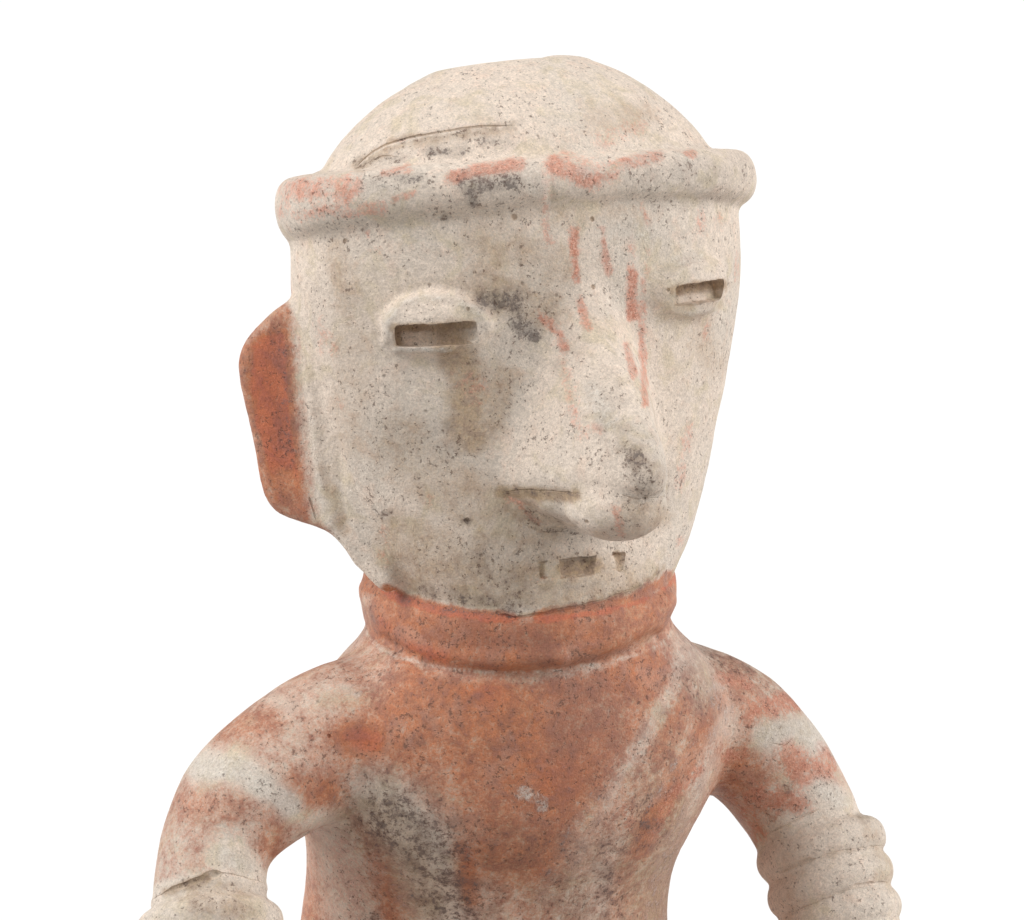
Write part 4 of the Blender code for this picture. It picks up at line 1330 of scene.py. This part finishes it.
# How thickly it covers each part, and its patches: their sizes and seeds, and how uneven they make it.
CHEST_SLIP = 0.84
ARM_SLIP = 0.46
LAP_SLIP = 0.6
COLLAR_SLIP = 0.95
EAR_SLIP = 1.2
SLIP_PATCHES = (34.0, 11)
SLIP_SMALL_PATCHES = (13.0, 12)
SMALL_SHARE = 0.5
UNEVEN_BEHIND = 0.45
EVENER_IN_FRONT = 0.3  # taken off where the photograph looks

# How far the marks' edges waver, in pixels, the size of that in the clay, and its seeds across and down.
EDGE_WAVER = 2.4
EDGE_SIZE = 3.0
EDGE_SEEDS = (21, 22)
FIELD_MOST = 1.2  # that a point keeps of a paint or stain
# Patches on the sides that the photograph hides: strength, size, seed and the height from which they lie.
PATCH_EDGE = (0.15, 0.5)
HIDDEN_PATCHES = {
    "rose": (0.8, 15.0, 31, 304.0),
    "dark": (0.75, 11.0, 32, -1.0),
    "soil_and_shade": (0.6, 24.0, 33, -1.0),
}


def ear_share(side, fore, height):
    """1 on the flat ears, fading at their roots."""
    share = np.zeros(len(side))
    low, high = EAR_SLIP_HEIGHTS
    for hand, sweep, slope in ((-1, EAR_SWEEP_RIGHT, EAR_SLOPE_RIGHT), (1, EAR_SWEEP_LEFT, EAR_SLOPE_LEFT)):
        out = hand * side - EAR_ROOT_SIDE + slope * np.maximum(0, EAR_SLOPE_TOP - height)
        back = EAR_ROOT_FORE - fore
        along = out * math.cos(sweep) + back * math.sin(sweep)
        across = np.abs(out * math.sin(sweep) - back * math.cos(sweep))
        near = (across < EAR_THICKNESS) & (height > low) & (height < high)
        share = np.maximum(share, smoothly(0.0, EAR_SLIP_FADE, along) * near)
    return share


def collar_lift(side, fore, height):
    """Height over the collar's own middle plane."""
    middle = COLLAR_Z - fore * math.sin(COLLAR_PITCH) + side * math.sin(COLLAR_ROLL)
    return (height - middle) / math.cos(COLLAR_PITCH)


def slip_everywhere(side, fore, height, points, seen):
    """The red slip's cover by where it lies on the body, patchier where the photograph doesn't look."""
    lift = collar_lift(side, fore, height)
    from_collar = smoothly(*COLLAR_SLIP_FROM, lift)
    collar = from_collar * (1 - smoothly(*COLLAR_SLIP_TO, lift))
    patches = wobble(points, *SLIP_PATCHES) + SMALL_SHARE * wobble(points, *SLIP_SMALL_PATCHES)
    patches = patches * (UNEVEN_BEHIND - EVENER_IN_FRONT * seen)
    arm = smoothly(*ARM_SIDES, np.abs(side)) * smoothly(*ARM_HEIGHTS, height)
    lap = 1 - smoothly(*LAP_HEIGHTS, height)
    usual = CHEST_SLIP + arm * (ARM_SLIP - CHEST_SLIP) + lap * (LAP_SLIP - CHEST_SLIP)
    over_armlet = smoothly(*ARMLET_HEIGHTS, height - ARMLET_SLOPE * (fore - ARMLET_FORE))
    armlet = smoothly(*ARMLET_SIDES, np.abs(side)) * (1 - over_armlet)
    body = (usual + patches) * (1 - armlet * (1 - lap))
    painted = np.maximum(COLLAR_SLIP * collar, EAR_SLIP * ear_share(side, fore, height))
    return np.maximum(painted, (1 - from_collar) * body)


def paint(obj, neck):
    """Keeps on each point of the skin how much of each paint, stain, painted shade and painted highlight lies
    there.
    """
    points, normals = arrays(obj.data)
    side, fore, height = (points - np.array(neck)).T / MM * np.array([[1], [-1], [1]])
    seen = seen_share(points, normals, surface_tree(obj), neck)
    pixels = to_photo(points, neck)
    pixels += EDGE_WAVER * np.stack([wobble(points, EDGE_SIZE, seed) for seed in EDGE_SEEDS], axis=1)
    slip = slip_everywhere(side, fore, height, points, seen)
    fields = {"slip": slip + (marks(pixels, SLIP_THICK) - marks(pixels, SLIP_WORN)) * seen}
    for name, lines in (("rose", ROSE), ("dark", DARK), ("soil_and_shade", SOIL_AND_SHADE), ("pale", PALE)):
        fields[name] = marks(pixels, lines) * seen
    for name, (strength, size, seed, lowest) in HIDDEN_PATCHES.items():
        islands = smoothly(*PATCH_EDGE, wobble(points, size, seed))
        fields[name] += strength * islands * (height > lowest) * (1 - seen)
    for name, values in fields.items():
        layer = obj.data.attributes.new(name, "FLOAT", "POINT")
        layer.data.foreach_set("value", np.clip(values, 0, FIELD_MOST).astype(np.float32))


# Colours, as light that the surface gives back.
BUFF_LIGHT = (0.87, 0.73, 0.61)
BUFF_GREY = (0.80, 0.69, 0.585)
BUFF_WARM = (0.86, 0.67, 0.54)
BUFF_OCHRE = (0.72, 0.60, 0.43)
SLIP_ORANGE = (0.64, 0.215, 0.08)
SLIP_BROWN = (0.38, 0.16, 0.105)
SLIP_PINK = (0.56, 0.31, 0.225)
SLIP_RED = (0.66, 0.19, 0.09)
SLIP_DEEP = (0.47, 0.135, 0.085)
ROSE_RED = (0.60, 0.19, 0.11)
ROSE_PINK = (0.76, 0.41, 0.30)
# Black of soot and stain, also of the painted shade in the dark marks.
STAIN_AND_SHADE_BLACK = (0.13, 0.105, 0.095)
# Tan and brown of soil, also of painted shade.
SOIL_AND_SHADE_OCHRE = (0.56, 0.385, 0.22)
SOIL_AND_SHADE_BROWN = (0.36, 0.235, 0.15)
# Lime, also the colour of the painted highlights.
LIME_AND_HIGHLIGHT = (0.76, 0.70, 0.62)
SPECK = (0.11, 0.06, 0.04)

# Grains of the clay: size of their lumps in design millimetres, detail, roughness and smear.
GRAINS = {
    "wide": (36.0, 3.0, 0.5, 0.6),
    "middle": (11.0, 4.0, 0.6, 0.8),
    "blotch": (5.2, 5.0, 0.66, 0.3),
    "small": (2.2, 5.0, 0.72, 0.0),
    "fine": (0.9, 4.0, 0.8, 0.0),
    "grit": (0.5, 2.0, 0.7, 0.0),
    "fleck": (1.3, 2.0, 0.85, 0.0),
}
# How strongly grains break up each cover, where it starts and is full, and the most that it covers.
COVERS = {
    "soil_and_shade": ({"blotch": 1.0, "small": 1.0, "fine": 0.8}, 0.05, 1.05, 0.8),
    "rose": ({"blotch": 0.9, "small": 1.3, "fine": 1.6}, 0.32, 1.0, 0.85),
    "slip": ({"middle": 0.45, "blotch": 0.9, "small": 1.2, "fine": 1.2}, 0.0, 1.05, 1.0),
    "pale": ({"blotch": 1.0, "small": 1.6, "fine": 1.6}, 0.35, 1.2, 0.7),
    "dark": ({"blotch": 1.0, "small": 2.2, "fine": 2.4}, 0.62, 1.2, 0.8),
}
COVER_GATE = (0.02, 0.3)  # the field's own values between which a cover is let in
GRAIN_MIDDLE = 0.5
# Tints of each paint: the grain that spreads them, where its step starts and ends, most cover, colour.
BUFF_TINTS = [
    ("wide", 0.38, 0.62, 1.0, BUFF_GREY),
    ("blotch", 0.5, 0.68, 0.6, BUFF_WARM),
    ("middle", 0.5, 0.3, 0.7, BUFF_OCHRE),
]
SOIL_AND_SHADE_TINTS = [("small", 0.42, 0.58, 1.0, SOIL_AND_SHADE_BROWN)]
ROSE_TINTS = [("fine", 0.44, 0.6, 1.0, ROSE_PINK)]
SLIP_TINTS = [("middle", 0.5, 0.66, 0.5, SLIP_PINK), ("wide", 0.5, 0.66, 0.5, SLIP_BROWN)]
# Shares of the grains whose sum turns slip brown, where that step lies, and where slip counts as thick.
SLIP_TONE = {"blotch": 0.45, "small": 0.35, "fine": 0.2}
SLIP_BROWNER = (0.4, 0.62)
SLIP_THICKER = (1.0, 1.2, 0.0, 0.85)
ROSE_OVER_SLIP = 0.7  # how much of the rose shows on slip
HAZE = (0.35, 0.65, 0.1, 0.5)  # the grain's step, and the least and most dark between the specks
# How much each grain darkens and lightens the colour at its ends.
SHADES = {"grit": (0.87, 1.1), "fine": (0.86, 1.08), "small": (0.88, 1.06)}
SHADE_STEP = (0.3, 0.7)
# Dark flecks, with more of them where the grain, the slip and the dark field say so, and round specks.
FLECK_CROWD = (0.42, 0.62, -0.06, 0.01)
FLECKS_IN_SLIP = 0.012
FLECKS_IN_DARK = 0.05
FLECK_STEP = (0.59, 0.67)
SPECK_SIZE = 4.4
SPECK_RADIUS = 0.12
SPECK_SHARE = 0.5
SPECK_FULL = 0.5  # how lucky a cell is whose speck has the full radius
SPECK_RIM = (-0.05, 0.1)
SPECK_COVER = 0.6
# Relief in the shading, in shares of its height, and the gloss of bare clay and of slip.
BUMP_HEIGHTS = {"small": 1.0, "fine": 0.55, "blotch": 0.8}
BUMP_PALE = 0.2
BUMP_FLECKS = 0.3
BUMP_SPECKS = 0.8
BUMP_STRENGTH = 0.9
BUMP_DISTANCE = 0.45
ROUGHNESS = (0.4, 1.5, 0.7, 0.48)
SPECULAR = 0.35


def node(tree, kind, inputs, **settings):
    """A shader node. Each input is a value, or a socket to link."""
    made = tree.nodes.new(kind)
    for name, value in settings.items():
        setattr(made, name, value)
    for key, value in inputs.items():
        if isinstance(value, bpy.types.NodeSocket):
            tree.links.new(value, made.inputs[key])
        else:
            made.inputs[key].default_value = value
    return made


def combine(tree, first, second, kind="ADD"):
    return node(tree, "ShaderNodeMath", {0: first, 1: second}, operation=kind).outputs[0]


def times(tree, first, second):
    return combine(tree, first, second, "MULTIPLY")


def add_up(tree, parts):
    """The sum of sockets, each times its share."""
    total, *others = [times(tree, socket, share) for socket, share in parts]
    for other in others:
        total = combine(tree, total, other)
    return total


def shares_of(grains, shares):
    return [(grains[name], share) for name, share in shares.items()]


def step_between(tree, value, low, high, start=0.0, end=1.0):
    """A smooth step from start to end as the value goes from low to high."""
    inputs = {"Value": value, "From Min": low, "From Max": high, "To Min": start, "To Max": end}
    return node(tree, "ShaderNodeMapRange", inputs, interpolation_type="SMOOTHSTEP").outputs["Result"]


def grain(tree, place_in_clay, size, detail, rough, smear):
    """Noise with lumps of about that size in design millimetres."""
    inputs = {"Vector": place_in_clay, "Scale": 1 / (size * MM), "Detail": detail, "Roughness": rough}
    inputs["Distortion"] = smear
    return node(tree, "ShaderNodeTexNoise", inputs).outputs["Fac"]


def mix(tree, share, first, second, kind="MIX"):
    """Two colours mixed. Each is a colour or a socket."""
    made = tree.nodes.new("ShaderNodeMix")
    made.data_type = "RGBA"
    made.blend_type = kind
    for socket, value in zip((made.inputs[0], made.inputs[6], made.inputs[7]), (share, first, second)):
        if isinstance(value, bpy.types.NodeSocket):
            tree.links.new(value, socket)
        elif isinstance(value, tuple):
            socket.default_value = (*value, 1.0)
        else:
            socket.default_value = value
    return made.outputs[2]


def field(tree, name):
    return node(tree, "ShaderNodeAttribute", {}, attribute_name=name).outputs["Fac"]


def cover(tree, name, grains, shares, low, high, most):
    """The share of the surface that a field covers, broken up by grains, and no more than most."""
    value = field(tree, name)
    gate = step_between(tree, value, *COVER_GATE, 0.0, most)
    for socket, share in shares_of(grains, shares):
        centred = combine(tree, socket, GRAIN_MIDDLE, "SUBTRACT")
        value = combine(tree, value, times(tree, centred, share))
    return times(tree, gate, step_between(tree, value, low, high))


def specks(tree, place_in_clay, size, radius, share):
    """Round dots on that share of the cells of that size: 1 in a dot."""
    inputs = {"Vector": place_in_clay, "Scale": 1 / (size * MM), "Randomness": 1.0}
    cells = node(tree, "ShaderNodeTexVoronoi", inputs)
    chance = node(tree, "ShaderNodeSeparateColor", {0: cells.outputs["Color"]}).outputs[0]
    luck = combine(tree, combine(tree, chance, 1.0, "SUBTRACT"), share)
    reach = times(tree, step_between(tree, luck, 0.0, SPECK_FULL), radius)
    inside = combine(tree, reach, cells.outputs["Distance"], "SUBTRACT")
    return step_between(tree, inside, *SPECK_RIM)


def tinted(tree, colour, grains, tints):
    for name, low, high, most, tint in tints:
        colour = mix(tree, step_between(tree, grains[name], low, high, 0.0, most), colour, tint)
    return colour


def clay_material():
    material = bpy.data.materials.new("slipped_clay")
    material.use_nodes = True
    tree = material.node_tree
    shader = tree.nodes["Principled BSDF"]
    here = node(tree, "ShaderNodeTexCoord", {}).outputs["Object"]
    grains = {name: grain(tree, here, *values) for name, values in GRAINS.items()}
    covers = {name: cover(tree, name, grains, *values) for name, values in COVERS.items()}
    coat, rose, pale = covers["slip"], covers["rose"], covers["pale"]
    dark = field(tree, "dark")

    red = tinted(tree, ROSE_RED, grains, ROSE_TINTS)
    buff = tinted(tree, BUFF_LIGHT, grains, BUFF_TINTS)
    # Soil and painted shade over the buff.
    buff = mix(tree, covers["soil_and_shade"], buff, tinted(tree, SOIL_AND_SHADE_OCHRE, grains, SOIL_AND_SHADE_TINTS))
    buff = mix(tree, rose, buff, red)
    browner = step_between(tree, add_up(tree, shares_of(grains, SLIP_TONE)), *SLIP_BROWNER)
    slip = tinted(tree, mix(tree, browner, SLIP_ORANGE, SLIP_BROWN), grains, SLIP_TINTS)
    thick = step_between(tree, field(tree, "slip"), *SLIP_THICKER)
    slip = mix(tree, thick, slip, mix(tree, browner, SLIP_RED, SLIP_DEEP))
    colour = mix(tree, coat, buff, slip)
    colour = mix(tree, times(tree, rose, times(tree, coat, ROSE_OVER_SLIP)), colour, red)
    # Lime and painted highlights.
    colour = mix(tree, pale, colour, LIME_AND_HIGHLIGHT)
    # Soot, stain and painted shade, with a haze between the specks.
    haze = times(tree, dark, step_between(tree, grains["blotch"], *HAZE))
    colour = mix(tree, combine(tree, covers["dark"], haze, "MAXIMUM"), colour, STAIN_AND_SHADE_BLACK)

    for name, ends in SHADES.items():
        factor = step_between(tree, grains[name], *SHADE_STEP, *ends)
        colour = mix(tree, 1.0, colour, factor, "MULTIPLY")
    crowd = step_between(tree, grains["middle"], *FLECK_CROWD)
    crowd = combine(tree, crowd, times(tree, coat, FLECKS_IN_SLIP))
    crowd = combine(tree, crowd, times(tree, dark, FLECKS_IN_DARK))
    flecks = step_between(tree, combine(tree, grains["fleck"], crowd), *FLECK_STEP)
    spots = specks(tree, here, SPECK_SIZE, SPECK_RADIUS, SPECK_SHARE)
    for dots in (flecks, spots):
        colour = mix(tree, times(tree, dots, SPECK_COVER), colour, SPECK)
    tree.links.new(colour, shader.inputs["Base Color"])

    gloss = step_between(tree, combine(tree, coat, grains["middle"]), *ROUGHNESS)
    tree.links.new(gloss, shader.inputs["Roughness"])
    shader.inputs["Specular IOR Level"].default_value = SPECULAR
    pitted = add_up(tree, [(flecks, BUMP_FLECKS), (spots, BUMP_SPECKS)])
    rise = add_up(tree, [*shares_of(grains, BUMP_HEIGHTS), (pale, BUMP_PALE)])
    rise = combine(tree, rise, pitted, "SUBTRACT")
    inputs = {"Height": rise, "Strength": BUMP_STRENGTH, "Distance": BUMP_DISTANCE * MM}
    bump = node(tree, "ShaderNodeBump", inputs)
    tree.links.new(bump.outputs["Normal"], shader.inputs["Normal"])
    return material


# The studio: how wide the floor is, the lights' bearings and heights in degrees, their spread and strength.
FLOOR_HALF = 40.0
FLOOR_COLOUR = (0.93, 0.93, 0.92)
FLOOR_BOUNCE = 0.45  # of the floor's colour, for what it throws back at the figure
FLOOR_ROUGHNESS = 0.9
ROOM_LIGHT = 0.26
LAMPS = [
    ("left", -97.0, 40.0, 40.0, 2.25),
    ("edge", -132.0, 12.0, 40.0, 0.8),
    ("right", 78.0, 12.0, 40.0, 1.22),
    ("front", 40.0, 32.0, 40.0, 1.6),
]


def floor_material():
    material = bpy.data.materials.new("floor")
    material.use_nodes = True
    tree = material.node_tree
    shader = tree.nodes["Principled BSDF"]
    bounced = node(tree, "ShaderNodeLightPath", {}).outputs["Is Diffuse Ray"]
    dimmed = tuple(value * FLOOR_BOUNCE for value in FLOOR_COLOUR)
    tree.links.new(mix(tree, bounced, FLOOR_COLOUR, dimmed), shader.inputs["Base Color"])
    shader.inputs["Roughness"].default_value = FLOOR_ROUGHNESS
    shader.inputs["Specular IOR Level"].default_value = 0.0
    return material


def make_floor():
    bm = bmesh.new()
    bmesh.ops.create_grid(bm, x_segments=1, y_segments=1, size=FLOOR_HALF)
    floor = from_bmesh("floor", bm)
    floor.location.z = BOX_LOW.z
    floor.data.materials.append(floor_material())


def make_light():
    for name, bearing, height, spread, strength in LAMPS:
        data = bpy.data.lights.new(name, "SUN")
        data.energy = strength
        data.angle = math.radians(spread)
        lamp = new_object(name, data)
        turn, rise = math.radians(bearing), math.radians(height)
        towards = Vector((math.sin(turn) * math.cos(rise), -math.cos(turn) * math.cos(rise), math.sin(rise)))
        lamp.rotation_mode = "QUATERNION"
        lamp.rotation_quaternion = towards.to_track_quat("Z", "Y")
    world = bpy.data.worlds.new("room")
    world.use_nodes = True
    sky = world.node_tree.nodes["Background"]
    sky.inputs["Color"].default_value = (1.0, 1.0, 1.0, 1.0)
    sky.inputs["Strength"].default_value = ROOM_LIGHT
    bpy.context.scene.world = world
    bpy.context.scene.view_settings.view_transform = "Standard"


figure, neck_place = make_figure()
paint(figure, neck_place)
figure.data.materials.clear()
figure.data.materials.append(clay_material())
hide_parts("seated_figure")
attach(figure, "root")
make_floor()
make_light()
make_camera(neck_place)
